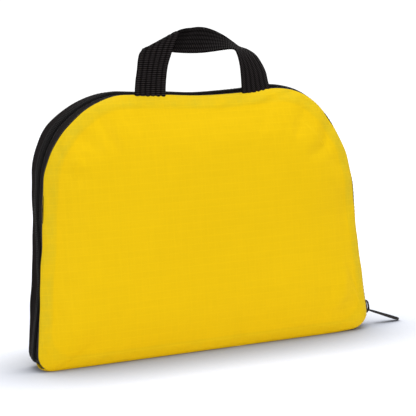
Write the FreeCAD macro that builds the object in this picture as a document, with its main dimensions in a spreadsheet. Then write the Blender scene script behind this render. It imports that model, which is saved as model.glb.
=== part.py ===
"""Packed foldable tote bag: a D-shaped zip-round pouch with the folded tote inside it.

Frame, in millimetres: +Z up, the pouch stands on z = 0, its front panel faces -Y and x = 0 is its
middle. Both seams follow one outline in planes parallel to XZ, half the pouch's depth either side
of y = 0, and the band between them is the zipper over the sides and top and a fabric base below.
"""

import FreeCAD
import Part
import math
import os

import Sketcher
from FreeCAD import Placement, Rotation, Vector

doc = FreeCAD.newDocument("FoldableToteBag")
TOUCH = 1e-3

# ---------------------------------------------------------------- driving dimensions

DIMENSIONS = {
    # outline of both panels
    "pouch_width": 280,
    "pouch_height": 204,
    "pouch_depth": 28,
    "side_lean": 5.8,
    "base_corner_radius": 12,
    "top_corner_radius": 66,
    # ripstop fabric and the domes that the packed tote pushes out
    "cloth": 0.9,
    "front_bulge": 9,
    "back_bulge": 7,
    "shoulder_inset": 10,
    "shoulder_share": 0.67,
    "crown_inset": 32,
    "crown_spread": 1.6,
    # zipper chain
    "tape_thickness": 0.8,
    "tape_gap": 0.5,
    "seam_gap": 0.25,
    "chain_end": 9,
    "coil_width": 2.9,
    "coil_height": 2.4,
    "coil_lift": 0.05,
    "coil_end": 10,
    "front_coil_end": 21.3,
    "thread": 0.33,
    "thread_width": 0.5,
    "thread_from_seam": 1.1,
    # seam binding inside the pouch
    "binding_inset": 1.1,
    "binding_width": 7,
    "binding_thickness": 1.2,
    "binding_gap": 0.4,
    # base strip and its bar tacks
    "base_end": 8.5,
    "tack_length": 10,
    "tack_width": 2,
    "tack_from_end": 1,
    # slider, measured from the outline surface along its normal
    "slider_height": 15.2,
    "slider_length": 10.6,
    "slider_tail": 8.6,
    "slider_shoulder": 9.6,
    "slider_plate": 1.1,
    "slider_floor": 1.65,
    "slider_roof": 2.65,
    "slider_chamfer": 1,
    "flange_inner": 3.75,
    "flange_floor": 0.65,
    "flange_width": 0.5,
    "flange_tail_gap": 1.5,
    "flange_head_gap": 0.2,
    "post_width": 0.8,
    "post_length": 3,
    "post_from_end": 1,
    "bridge_width": 2.2,
    "bridge_thickness": 1,
    "bridge_window": 8.4,
    "bridge_rise": 5.2,
    "bridge_chamfer": 1.2,
    "fit_gap": 0.02,
    "spring_width": 1.6,
    "spring_length": 6,
    "spring_thickness": 0.4,
    "spring_lift": 0.2,
    # pull tab
    "pivot_drop": 3.45,
    "pivot_rise": 4.3,
    "pull_droop": 21,
    "pull_length": 31.5,
    "pull_width": 7,
    "pull_thickness": 2,
    "pull_pin_radius": 0.7,
    "pull_cheek_width": 1.4,
    "pull_neck_width": 6.2,
    "pull_window": 9.4,
    "pull_shoulder": 3.8,
    "pull_tip_chamfer": 2,
    "pull_rim": 0.7,
    "pull_rim_width": 1.4,
    # webbing handle
    "webbing_width": 25,
    "webbing_thickness": 1.6,
    "handle_centre": 5,
    "handle_span": 88,
    "handle_lift": 1.2,
    "handle_rise": 48,
    "handle_grip": 19.5,
    "handle_corner": 34,
    "handle_inner_corner": 9,
    "handle_from_seam": 0.4,
    "anchor_length": 17,
    "patch_thickness": 0.5,
    "patch_margin": 4,
    "tack_bar": 1.8,
    "tack_margin": 1,
    "layer_gap": 0.1,
    # folded tote inside
    "pack_inset": 12,
    "pack_front": 2.4,
    "pack_back": 16.5,
    "pack_round": 6,
    "fold_thickness": 6.8,
    "fold_length": 84,
    "fold_front": 9.8,
    "fold_end_flat": 0.8,
    "bundle_inset": 36,
    "bundle_thickness": 8,
    "strap_width": 25,
    "strap_thickness": 1.2,
    "strap_layers": 4,
    "strap_pitch": 1.55,
    "strap_length": 110,
    "strap_offset": 46,
    "strap_height": 92,
    "strap_from_face": 0.9,
    "recess_margin": 1.2,
    "recess_depth": 6.9,
}

sheet = doc.addObject("Spreadsheet::Sheet", "Sizes")
for row, (alias, number) in enumerate(DIMENSIONS.items(), start=1):
    sheet.set("A%d" % row, alias)
    sheet.set("B%d" % row, str(number))
    sheet.setAlias("B%d" % row, alias)
doc.recompute()


def size(alias):
    """The number in a cell of the sheet."""
    return float(sheet.get(alias))


def bound(text):
    """A formula over cell names, as an expression that reads the sheet."""
    for alias in sorted(DIMENSIONS, key=len, reverse=True):
        text = text.replace("$" + alias, "Sizes." + alias)
    return text


LEAN = math.radians(size("side_lean"))

# Centres of the outline's corner arcs, as formulas and as numbers. The side line leans in, and
# touches both arcs.
BASE_CENTRE_X = (
    "($pouch_width / 2 - $base_corner_radius * (1 + sin($side_lean * 1deg)) / cos($side_lean * 1deg))"
)
TOP_CENTRE_X = (
    "($pouch_width / 2 - ($pouch_height - $top_corner_radius"
    " + $top_corner_radius * sin($side_lean * 1deg)) * tan($side_lean * 1deg)"
    " - $top_corner_radius * cos($side_lean * 1deg))"
)
TOP_CENTRE_Z = "($pouch_height - $top_corner_radius)"


def base_centre():
    drop = size("base_corner_radius")
    return size("pouch_width") / 2 - drop * (1 + math.sin(LEAN)) / math.cos(LEAN), drop


def top_centre():
    radius = size("top_corner_radius")
    height = size("pouch_height") - radius
    run = (height + radius * math.sin(LEAN)) * math.tan(LEAN)
    return size("pouch_width") / 2 - run - radius * math.cos(LEAN), height


# ---------------------------------------------------------------- modelling helpers


def new_body(label):
    body = doc.addObject("PartDesign::Body", label)
    body.Label = label
    return body


def sketch_on(body, role, offset="0"):
    """A sketch on one of the body's own origin planes, moved along its normal by a formula."""
    sketch = body.newObject("Sketcher::SketchObject", body.Label + "_sketch")
    plane = [f for f in body.Origin.OriginFeatures if f.Role == role][0]
    sketch.AttachmentSupport = (plane, [""])
    sketch.MapMode = "FlatFace"
    sketch.setExpression("AttachmentOffset.Base.z", bound(offset))
    return sketch


def drive(sketch, kind, *target, formula):
    """Adds a dimension and binds it to a formula over the sheet."""
    index = sketch.addConstraint(Sketcher.Constraint(kind, *target))
    sketch.setExpression("Constraints[%d]" % index, bound(formula))


def pad(body, sketch, length, reverse=False, midplane=False):
    feature = body.newObject("PartDesign::Pad", body.Label + "_pad")
    feature.Profile = sketch
    feature.setExpression("Length", bound(length))
    feature.Reversed = reverse
    feature.Midplane = midplane
    sketch.Visibility = False
    return feature


def pocket_through(body, sketch):
    """Cuts a sketch through the whole body, both ways."""
    doc.recompute()
    before = body.Shape.Volume
    feature = body.newObject("PartDesign::Pocket", body.Label + "_pocket")
    feature.Profile = sketch
    feature.Type = 1
    feature.Midplane = True
    sketch.Visibility = False
    doc.recompute()
    if not body.Shape.Volume < before:
        raise RuntimeError(body.Label + ": the pocket cut nothing")
    return feature


def round_edges(body, radius, wanted):
    """Rounds every edge that a test picks."""
    doc.recompute()
    solid = body.Tip
    names = ["Edge%d" % (k + 1) for k, edge in enumerate(body.Shape.Edges) if wanted(edge.BoundBox)]
    fillet = body.newObject("PartDesign::Fillet", body.Label + "_round")
    fillet.Base = (solid, names)
    fillet.setExpression("Radius", bound(radius))
    doc.recompute()


def rectangle(sketch, left, bottom, right, top):
    """A rectangle whose four sides are formulas in the sketch's own axes."""
    numbers = [evaluate(f) for f in (left, bottom, right, top)]
    x0, y0, x1, y1 = numbers
    corners = [Vector(x0, y0), Vector(x1, y0), Vector(x1, y1), Vector(x0, y1)]
    first = sketch.GeometryCount
    for i in range(4):
        sketch.addGeometry(Part.LineSegment(corners[i], corners[(i + 1) % 4]))
    for i in range(4):
        joined = Sketcher.Constraint("Coincident", first + i, 2, first + (i + 1) % 4, 1)
        sketch.addConstraint(joined)
        kind = "Horizontal" if i % 2 == 0 else "Vertical"
        sketch.addConstraint(Sketcher.Constraint(kind, first + i))
    drive(sketch, "DistanceX", first, 1, x0, formula=left)
    drive(sketch, "DistanceY", first, 1, y0, formula=bottom)
    drive(sketch, "DistanceX", first + 2, 1, x1, formula=right)
    drive(sketch, "DistanceY", first + 2, 1, y1, formula=top)


def evaluate(formula):
    """The value of a formula over the sheet, in plain numbers."""
    value = doc.Sizes.evalExpression(bound(formula))
    return float(getattr(value, "Value", value))


def outline(sketch, inset="0", spread="0"):
    """The pouch's closed outline, inset by a formula. A spread above zero rounds the base corners
    more, for the smaller outlines on the dome."""
    i, s = evaluate(inset), evaluate(spread)
    (bx, bz), (tx, tz) = base_centre(), top_centre()
    bx, bz = bx - s, bz + s
    base_r = size("base_corner_radius") - i + s
    top_r = size("top_corner_radius") - i
    run, rise = bx - tx, tz - bz
    normal = math.acos((top_r - base_r) / math.hypot(run, rise)) - math.atan2(rise, run)
    arcs = (
        (bx, bz, base_r, -math.pi / 2, normal),
        (tx, tz, top_r, normal, math.pi / 2),
        (-tx, tz, top_r, math.pi / 2, math.pi - normal),
        (-bx, bz, base_r, math.pi - normal, 1.5 * math.pi),
    )
    first = sketch.GeometryCount
    for x, z, radius, start, end in arcs:
        circle = Part.Circle(Vector(x, z), Vector(0, 0, 1), radius)
        sketch.addGeometry(Part.ArcOfCircle(circle, start, end))
    for k in range(4):
        x0, z0, r0, _, end = arcs[k]
        x1, z1, r1, start, _ = arcs[(k + 1) % 4]
        start = end if k == 3 else start
        leave = Vector(x0 + r0 * math.cos(end), z0 + r0 * math.sin(end))
        arrive = Vector(x1 + r1 * math.cos(start), z1 + r1 * math.sin(start))
        sketch.addGeometry(Part.LineSegment(leave, arrive))
    base_radius = "$base_corner_radius - (%s) + (%s)" % (inset, spread)
    top_radius = "$top_corner_radius - (%s)" % inset
    base_x = "%s - (%s)" % (BASE_CENTRE_X, spread)
    base_z = "$base_corner_radius + (%s)" % spread
    rules = (
        (base_x, base_z, base_radius),
        (TOP_CENTRE_X, TOP_CENTRE_Z, top_radius),
        ("-" + TOP_CENTRE_X, TOP_CENTRE_Z, top_radius),
        ("-(%s)" % base_x, base_z, base_radius),
    )
    for k, (x_rule, z_rule, radius_rule) in enumerate(rules):
        x, z, radius = arcs[k][:3]
        drive(sketch, "DistanceX", first + k, 3, x, formula=x_rule)
        drive(sketch, "DistanceY", first + k, 3, z, formula=z_rule)
        drive(sketch, "Radius", first + k, radius, formula=radius_rule)
    for k in range(4):
        line = first + 4 + k
        sketch.addConstraint(Sketcher.Constraint("Tangent", first + k, 2, line, 1))
        sketch.addConstraint(Sketcher.Constraint("Tangent", line, 2, first + (k + 1) % 4, 1))


def seam_ring(label, outer, inner, back_face, length):
    """A ring that follows the outline, between two insets, padded forward from its back face."""
    body = new_body(label)
    sketch = sketch_on(body, "XZ_Plane", "-(%s)" % back_face)
    outline(sketch, outer)
    outline(sketch, inner)
    pad(body, sketch, length)
    return body


def cut_below(body, left_end, right_end):
    """Opens a ring at the bottom: what lies below each end height goes."""
    sketch = sketch_on(body, "XZ_Plane")
    rectangle(sketch, "-$pouch_width", "-$pouch_depth", "0", left_end)
    pocket_through(body, sketch)
    sketch = sketch_on(body, "XZ_Plane")
    rectangle(sketch, "0", "-$pouch_depth", "$pouch_width", right_end)
    pocket_through(body, sketch)


def trim_to_pack(body):
    """Cuts away whatever stands outside the outline of the folded tote."""
    sketch = sketch_on(body, "XZ_Plane")
    rectangle(sketch, "-$pouch_width", "-$pouch_height", "$pouch_width", "2 * $pouch_height")
    outline(sketch, "$pack_inset", "$pack_inset * $crown_spread")
    pocket_through(body, sketch)


def polygon(sketch, points):
    """A closed outline through points that are pairs of formulas, one horizontal or vertical
    coordinate each."""
    corners = [Vector(evaluate(x), evaluate(y)) for x, y in points]
    count = len(corners)
    first = sketch.GeometryCount
    for i in range(count):
        sketch.addGeometry(Part.LineSegment(corners[i], corners[(i + 1) % count]))
    for i in range(count):
        after = first + (i + 1) % count
        sketch.addConstraint(Sketcher.Constraint("Coincident", first + i, 2, after, 1))
    for i, (x, y) in enumerate(points):
        drive(sketch, "DistanceX", first + i, 1, corners[i].x, formula=x)
        drive(sketch, "DistanceY", first + i, 1, corners[i].y, formula=y)


# ---------------------------------------------------------------- fabric shells


def dome_sections(body, side, bulge, wall):
    """Three outlines that a panel's dome passes through: its seam, its shoulder and its crown.
    side is +1 for the front, whose dome leaves along the sketches' normal."""
    depths = ("0", "(%s) * $shoulder_share" % bulge, bulge)
    insets = ("0", "$shoulder_inset", "$crown_inset")
    sections = []
    for depth, inset in zip(depths, insets):
        thinner = "0" if depth == "0" else wall
        place = "%d * ($pouch_depth / 2 + (%s) - (%s))" % (side, depth, thinner)
        sketch = sketch_on(body, "XZ_Plane", place)
        spread = "(%s) * $crown_spread" % inset
        outline(sketch, "(%s) + (%s)" % (inset, wall), spread)
        sketch.Visibility = False
        sections.append(sketch)
    return sections


def panel(label, side, bulge):
    """A panel's fabric, domed outward from its seam, as an open shell of even thickness."""
    body = new_body(label)
    outside = dome_sections(body, side, bulge, "0")
    doc.recompute()
    loft = body.newObject("PartDesign::AdditiveLoft", label + "_dome")
    loft.Profile = outside[0]
    loft.Sections = outside[1:]
    doc.recompute()
    full = body.Shape.Volume
    inside = dome_sections(body, side, bulge, "$cloth")
    doc.recompute()
    hollow = body.newObject("PartDesign::SubtractiveLoft", label + "_hollow")
    hollow.Profile = inside[0]
    hollow.Sections = inside[1:]
    doc.recompute()
    if not body.Shape.Volume < 0.5 * full:
        raise RuntimeError(label + ": the shell wasn't hollowed")
    return body


def base_strip():
    """The fabric strip under the pouch, turned up round both base corners to the zipper's ends."""
    width = "$pouch_depth - 2 * $seam_gap"
    body = seam_ring("base_gusset", "0", "$cloth", "$pouch_depth / 2 - $seam_gap", width)
    sketch = sketch_on(body, "XZ_Plane")
    rectangle(sketch, "-$pouch_width", "$base_end", "$pouch_width", "2 * $pouch_height")
    pocket_through(body, sketch)
    return body


# ---------------------------------------------------------------- zipper chain


def zipper_tape(label, back_face):
    width = "$pouch_depth / 2 - $seam_gap - $tape_gap"
    body = seam_ring(label, "0", "$tape_thickness", back_face, width)
    cut_below(body, "$chain_end", "$chain_end")
    return body


def zipper_coil(label, back_face, right_end):
    """One side's coil, as the bar that its loops fill, standing on the tape's inner edge."""
    outer = "-$coil_lift - $coil_height"
    body = seam_ring(label, outer, "-$coil_lift", back_face, "$coil_width")
    cut_below(body, "$coil_end", right_end)
    return body


def tape_thread(label, back_face):
    """The row of lockstitch that holds a tape to its panel, as one thread on the tape's face."""
    lift = "-$fit_gap"
    body = seam_ring(label, lift + " - $thread", lift, back_face, "$thread_width")
    cut_below(body, "$chain_end", "$chain_end")
    return body


def seam_binding(label, back_face):
    """Folded tape that closes the raw edges of a seam, standing in from it inside the pouch."""
    inner = "$binding_inset + $binding_width"
    return seam_ring(label, "$binding_inset", inner, back_face, "$binding_thickness")


def end_bartacks():
    """The dense bar of thread at each end of the zipper, on the base strip's turned-up ends."""
    outer = "-$fit_gap - $thread"
    body = seam_ring("zipper_end_bartacks", outer, "-$fit_gap", "$tack_length / 2", "$tack_length")
    top = "$base_end - $tack_from_end"
    sketch = sketch_on(body, "XZ_Plane")
    rectangle(sketch, "-$pouch_width", top, "$pouch_width", "2 * $pouch_height")
    pocket_through(body, sketch)
    cut_below(body, top + " - $tack_width", top + " - $tack_width")
    return body


# ---------------------------------------------------------------- slider and pull
# The slider's own axes: X is the outline's outward normal, Y runs across the zipper, and Z runs
# up the chain. Its origin is on the outline's surface.


def side_point(height):
    """The point of the right-hand side line at a height, in the pouch's frame."""
    return Vector(size("pouch_width") / 2 - height * math.tan(LEAN), 0, height)


def on_chain(body):
    """Stands a piece of the slider on the right-hand side of the pouch."""
    tilt = Rotation(Vector(0, 1, 0), -size("side_lean"))
    body.Placement = Placement(side_point(size("slider_height")), tilt)
    return body


def slider_plate(body, offset):
    """One wing plate: wider at its lower end, where the coils come in."""
    sketch = sketch_on(body, "YZ_Plane", offset)
    tail, shoulder = "$slider_tail / 2", "$slider_shoulder / 2"
    low, high, step = "-$slider_length / 2", "$slider_length / 2", "-$slider_length / 5"
    corner = "$slider_chamfer"
    half = [
        (tail, high),
        (shoulder, step),
        (shoulder, low + " + " + corner),
        (shoulder + " - " + corner, low),
    ]
    left = [("-(%s)" % y, z) for y, z in reversed(half)]
    polygon(sketch, half + left)
    pad(body, sketch, "$slider_plate")
    doc.recompute()


def slider_body():
    body = new_body("slider_body")
    slider_plate(body, "-$slider_floor - $slider_plate")
    sketch = sketch_on(body, "YZ_Plane", "-$slider_floor - $slider_plate / 2")
    low = "-$slider_length / 2 + $post_from_end"
    rectangle(sketch, "-$post_width / 2", low, "$post_width / 2", low + " + $post_length")
    pad(body, sketch, "$slider_floor + $slider_roof + $slider_plate")
    doc.recompute()
    slider_plate(body, "$slider_roof")
    sketch = sketch_on(body, "YZ_Plane", "$flange_floor")
    low = "-$slider_length / 2 + $flange_tail_gap"
    high = "$slider_length / 2 - $flange_head_gap"
    outer = "$flange_inner + $flange_width"
    rectangle(sketch, "$flange_inner", low, outer, high)
    rectangle(sketch, "-(%s)" % outer, low, "-$flange_inner", high)
    pad(body, sketch, "$slider_roof - $flange_floor + $slider_plate / 2")
    return on_chain(body)


def slider_bridge():
    """The arched crown on the slider, which the pull tab's pin sits under."""
    body = new_body("slider_bridge")
    sketch = sketch_on(body, "XZ_Plane")
    foot = "$slider_roof + $slider_plate + $fit_gap"
    inner = "$slider_roof + $slider_plate + $bridge_rise"
    outer = inner + " + $bridge_thickness"
    half = "$bridge_window / 2"
    reach = half + " + $bridge_thickness"
    bevel = "$bridge_chamfer"
    points = [
        (foot, "-(%s)" % reach),
        (outer + " - " + bevel, "-(%s)" % reach),
        (outer, "-(%s) + %s" % (reach, bevel)),
        (outer, reach + " - " + bevel),
        (outer + " - " + bevel, reach),
        (foot, reach),
        (foot, half),
        (inner, half),
        (inner, "-(%s)" % half),
        (foot, "-(%s)" % half),
    ]
    polygon(sketch, points)
    pad(body, sketch, "$bridge_width", midplane=True)
    return on_chain(body)


def slider_lock_spring():
    """The leaf spring that lies on the slider under its bridge."""
    body = new_body("slider_lock_spring")
    lift = "$slider_roof + $slider_plate + $spring_lift"
    sketch = sketch_on(body, "YZ_Plane", lift)
    half_y, half_z = "$spring_width / 2", "$spring_length / 2"
    rectangle(sketch, "-" + half_y, "-" + half_z, half_y, half_z)
    pad(body, sketch, "$spring_thickness")
    return on_chain(body)


def pull_pivot():
    """The middle of the pull tab's pin, in the pouch's frame."""
    out = size("slider_roof") + size("slider_plate") + size("pivot_rise")
    normal = Vector(math.cos(LEAN), 0, math.sin(LEAN))
    along = Vector(-math.sin(LEAN), 0, math.cos(LEAN))
    return side_point(size("slider_height")) + normal * out - along * size("pivot_drop")


def pull_tab():
    """The pull: a round pin under the bridge, two cheeks past it and a recessed grip plate. Its
    own X axis runs from the pin to the tip."""
    body = new_body("pull_tab")
    sketch = sketch_on(body, "XY_Plane")
    neck, wide = "$pull_neck_width / 2", "$pull_width / 2"
    start, tip = "-$pull_pin_radius", "$pull_length"
    half = [
        (start, neck),
        ("$pull_window - $pull_shoulder / 2", neck),
        ("$pull_window + $pull_shoulder / 2", wide),
        (tip + " - $pull_tip_chamfer", wide),
        (tip, wide + " - $pull_tip_chamfer"),
    ]
    mirrored = [(x, "-(%s)" % y) for x, y in reversed(half)]
    polygon(sketch, half + mirrored)
    gap = neck + " - $pull_cheek_width"
    rectangle(sketch, "0", "-(%s)" % gap, "$pull_window", gap)
    pad(body, sketch, "2 * $pull_pin_radius", midplane=True)
    doc.recompute()
    sketch = sketch_on(body, "XY_Plane")
    raised = "($pull_width / 2 - $pull_rim)"
    recess = "($pull_width / 2 - $pull_rim - $pull_rim_width)"
    low, high = "$pull_window + $pull_shoulder / 2", tip + " - $pull_tip_chamfer / 2"
    rectangle(sketch, low, "-" + raised, high, raised)
    rectangle(sketch, low + " + $pull_rim_width", "-" + recess, high + " - $pull_rim_width", recess)
    pad(body, sketch, "$pull_thickness", midplane=True)
    doc.recompute()
    square_end = sketch_on(body, "XZ_Plane")
    reach = "$pull_pin_radius"
    rectangle(square_end, "-2 * " + reach, "-2 * " + reach, "0", "2 * " + reach)
    pocket_through(body, square_end)
    sketch = sketch_on(body, "XZ_Plane")
    sketch.addGeometry(Part.Circle(Vector(0, 0), Vector(0, 0, 1), size("pull_pin_radius")))
    sketch.addConstraint(Sketcher.Constraint("Coincident", 0, 3, -1, 1))
    drive(sketch, "Radius", 0, size("pull_pin_radius"), formula="$pull_pin_radius")
    pad(body, sketch, "$pull_neck_width", midplane=True)
    droop = Rotation(Vector(0, 1, 0), size("pull_droop"))
    body.Placement = Placement(pull_pivot(), droop)
    return body


# ---------------------------------------------------------------- webbing handle


def handle_axis():
    """The line the handle folds about, just above the front seam."""
    front = size("pouch_depth") / 2 + size("handle_from_seam")
    return Vector(size("handle_centre"), -front, size("pouch_height") + size("handle_lift"))


def handle_webbing():
    """The loop of webbing above the seam: two legs and a grip, seen from the front as an arch.
    Its own origin is on the line it folds about."""
    body = new_body("handle_webbing")
    half = "$webbing_thickness / 2"
    sketch = sketch_on(body, "XZ_Plane", "-" + half)
    outer = "($handle_span + $webbing_width) / 2"
    inner = "($handle_span - $webbing_width) / 2"
    arch(sketch, outer, "$handle_rise", "$handle_corner")
    pad(body, sketch, "$webbing_thickness")
    opening = sketch_on(body, "XZ_Plane")
    arch(opening, inner, "$handle_rise - $handle_grip", "$handle_inner_corner")
    pocket_through(body, opening)
    for side in ("-", ""):
        middle = "(%s$handle_span / 2)" % side
        ends = sketch_on(body, "YZ_Plane", middle + " - $webbing_width / 2")
        ends.addGeometry(Part.Circle(Vector(0, 0), Vector(0, 0, 1), size("webbing_thickness") / 2))
        ends.addConstraint(Sketcher.Constraint("Coincident", 0, 3, -1, 1))
        drive(ends, "Radius", 0, size("webbing_thickness") / 2, formula=half)
        pad(body, ends, "$webbing_width")
        doc.recompute()
    body.Placement = Placement(handle_axis(), Rotation())
    return body


def arch(sketch, half_width, height, corner):
    """A closed arch: two uprights, round corners and a flat top, closed along its foot."""
    w, h, r = (evaluate(v) for v in (half_width, height, corner))
    first = sketch.GeometryCount
    right = Part.Circle(Vector(w - r, h - r), Vector(0, 0, 1), r)
    left = Part.Circle(Vector(r - w, h - r), Vector(0, 0, 1), r)
    sketch.addGeometry(Part.LineSegment(Vector(-w, 0), Vector(w, 0)))
    sketch.addGeometry(Part.LineSegment(Vector(w, 0), Vector(w, h - r)))
    sketch.addGeometry(Part.ArcOfCircle(right, 0, math.pi / 2))
    sketch.addGeometry(Part.LineSegment(Vector(w - r, h), Vector(r - w, h)))
    sketch.addGeometry(Part.ArcOfCircle(left, math.pi / 2, math.pi))
    sketch.addGeometry(Part.LineSegment(Vector(-w, h - r), Vector(-w, 0)))
    for k in (0, 5):
        after = first + (k + 1) % 6
        sketch.addConstraint(Sketcher.Constraint("Coincident", first + k, 2, after, 1))
    for k in (1, 2, 3, 4):
        sketch.addConstraint(Sketcher.Constraint("Tangent", first + k, 2, first + k + 1, 1))
    sketch.addConstraint(Sketcher.Constraint("Horizontal", first))
    sketch.addConstraint(Sketcher.Constraint("Vertical", first + 1))
    sketch.addConstraint(Sketcher.Constraint("Vertical", first + 5))
    drive(sketch, "DistanceX", first, 1, -w, formula="-(%s)" % half_width)
    drive(sketch, "DistanceX", first, 2, w, formula=half_width)
    sketch.addConstraint(Sketcher.Constraint("PointOnObject", first, 1, -1))
    drive(sketch, "DistanceY", first + 3, 1, h, formula=height)
    drive(sketch, "Radius", first + 2, r, formula=corner)
    drive(sketch, "Radius", first + 4, r, formula=corner)


def pair_of_blocks(label, front, thickness, low, high, extra="0"):
    """Two flat pieces, one behind each leg of the handle, padded forward to their front face."""
    body = new_body(label)
    sketch = sketch_on(body, "XZ_Plane", "(%s) - (%s)" % (front, thickness))
    for side in ("-", ""):
        middle = "$handle_centre + (%s$handle_span / 2)" % side
        reach = "($webbing_width / 2 + (%s))" % extra
        rectangle(sketch, middle + " - " + reach, low, middle + " + " + reach, high)
    pad(body, sketch, thickness)
    return body


ANCHOR_FRONT = "$pouch_depth / 2 - $binding_gap - $binding_thickness - $layer_gap"
ANCHOR_TOP = "$pouch_height - $tape_thickness - $binding_gap"


def handle_anchor_ends():
    """The webbing's two ends, sewn into the front seam and lying down inside the pouch."""
    low = ANCHOR_TOP + " - $anchor_length"
    return pair_of_blocks("handle_anchor_ends", ANCHOR_FRONT, "$webbing_thickness", low, ANCHOR_TOP)


def handle_backing_patches():
    """A patch of doubled cloth behind each webbing end."""
    front = ANCHOR_FRONT + " - $webbing_thickness - $fit_gap"
    low = ANCHOR_TOP + " - $anchor_length - $patch_margin"
    top = ANCHOR_TOP + " - $patch_margin / 2"
    thickness = "$patch_thickness"
    return pair_of_blocks("handle_backing_patches", front, thickness, low, top, "$patch_margin / 2")


def handle_bartacks():
    """A bar of dense thread across each webbing end, on its inner face below the patch."""
    front = ANCHOR_FRONT + " - $webbing_thickness - $patch_thickness - 2 * $fit_gap"
    top = ANCHOR_TOP + " - $anchor_length / 2"
    low = top + " - $tack_bar"
    return pair_of_blocks("handle_bartacks", front, "$thread / 2", low, top, "-$tack_margin")


# ---------------------------------------------------------------- folded tote


def tote_core():
    """The middle of the folded tote: a plump pad that fills the back of the pouch, with a hollow
    for each folded strap."""
    body = new_body("tote_folded_body")
    sketch = sketch_on(body, "XZ_Plane", "-$pack_back")
    outline(sketch, "$pack_inset", "$pack_inset * $crown_spread")
    pad(body, sketch, "$pack_back + $pack_front")
    back = size("pack_back")
    round_edges(body, "$pack_round", lambda box: box.YMin > back - TOUCH)
    before = body.Shape.Volume
    sketch = sketch_on(body, "XZ_Plane", "$pack_front")
    for side in ("-", ""):
        middle = "(%s$strap_offset)" % side
        reach_x = "($strap_width / 2 + $recess_margin)"
        reach_z = "($strap_length / 2 + $recess_margin)"
        low, high = "$strap_height - " + reach_z, "$strap_height + " + reach_z
        rectangle(sketch, middle + " - " + reach_x, low, middle + " + " + reach_x, high)
    hollow = body.newObject("PartDesign::Pocket", "tote_folded_body_hollows")
    hollow.Profile = sketch
    hollow.setExpression("Length", bound("$recess_depth"))
    doc.recompute()
    if not body.Shape.Volume < before - 2 * size("strap_width") * size("strap_length"):
        raise RuntimeError("the strap hollows cut nothing")
    return body


def tote_strap(label, side):
    """One shoulder strap of the tote, folded to and fro into a flat stack in its hollow."""
    body = new_body(label)
    sketch = sketch_on(body, "YZ_Plane", "(%s$strap_offset) - $strap_width / 2" % side)
    layers = int(size("strap_layers"))
    low = "$strap_height - $strap_length / 2"
    high = "$strap_height + $strap_length / 2"
    start = "-$pack_front + $strap_from_face"
    serpentine(sketch, layers, start, low, high)
    pad(body, sketch, "$strap_width")
    return body


def serpentine(sketch, layers, start, low, high):
    """The section of a folded strap: its layers side by side, joined at alternate ends."""
    outward, homeward = [], []
    for layer in range(layers):
        near = "%s + %d * $strap_pitch" % (start, layer)
        far = near + " + $strap_thickness"
        at_top = layer % 2 == 0
        end, here = (high, low) if at_top else (low, high)
        short = " - $strap_thickness" if at_top else " + $strap_thickness"
        if layer == 0:
            outward.append((near, here))
            homeward.append((far, here))
        if layer == layers - 1:
            outward.append((near, end)) if at_top else homeward.append((near, end))
            homeward.append((far, end)) if at_top else outward.append((far, end))
            continue
        beyond = near + " + $strap_pitch + $strap_thickness"
        opposite = near + " + $strap_pitch"
        if at_top:
            outward += [(near, end), (beyond, end)]
            homeward += [(far, end + short), (opposite, end + short)]
        else:
            homeward += [(near, end), (beyond, end)]
            outward += [(far, end + short), (opposite, end + short)]
    polygon(sketch, outward + homeward[::-1])


def tote_fold(label, low, high, round_at_top):
    """A fold of the tote that lies over the pack's front, rounded about the line it opens on."""
    body = new_body(label)
    sketch = sketch_on(body, "YZ_Plane")
    middle = "-$fold_front + $fold_thickness / 2"
    rectangle(sketch, "-$fold_front", low, "-$fold_front + $fold_thickness", high)
    pad(body, sketch, "$pouch_width", midplane=True)
    doc.recompute()
    sketch = sketch_on(body, "YZ_Plane")
    axis = high if round_at_top else low
    radius = size("fold_thickness") / 2
    circle = Part.Circle(Vector(evaluate(middle), evaluate(axis)), Vector(0, 0, 1), radius)
    sketch.addGeometry(circle)
    drive(sketch, "DistanceX", 0, 3, evaluate(middle), formula=middle)
    drive(sketch, "DistanceY", 0, 3, evaluate(axis), formula=axis)
    drive(sketch, "Radius", 0, radius, formula="$fold_thickness / 2")
    pad(body, sketch, "$pouch_width", midplane=True)
    doc.recompute()
    free = evaluate(low if round_at_top else high)
    round_edges(
        body,
        "$fold_thickness / 2 - $fold_end_flat / 2",
        lambda box: box.XLength > size("pouch_width") / 2 and abs(box.ZMin - free) < TOUCH,
    )
    trim_to_pack(body)
    if round_at_top:
        add_bundle(body, "-$pouch_height", low)
    else:
        add_bundle(body, high, "2 * $pouch_height")
    return body


def add_bundle(body, cut_from, cut_to):
    """The thicker middle of a fold, which fills out the front panel's dome. It ends where the
    fold's free edge is."""
    sketch = sketch_on(body, "XZ_Plane", "$fold_front")
    outline(sketch, "$bundle_inset", "$bundle_inset * $crown_spread")
    pad(body, sketch, "$bundle_thickness")
    doc.recompute()
    front = -size("fold_front") - size("bundle_thickness")
    round_edges(body, "$bundle_thickness / 2", lambda box: box.YMax < front + TOUCH)
    sketch = sketch_on(body, "XZ_Plane")
    rectangle(sketch, "-$pouch_width", cut_from, "$pouch_width", cut_to)
    pocket_through(body, sketch)


UPPER_FOLD_AXIS = "$pouch_height - $pack_inset - $fold_thickness / 2"
LOWER_FOLD_AXIS = "$pack_inset + $fold_thickness / 2"


# ---------------------------------------------------------------- the assembly

HALF_DEPTH = "$pouch_depth / 2"

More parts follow.
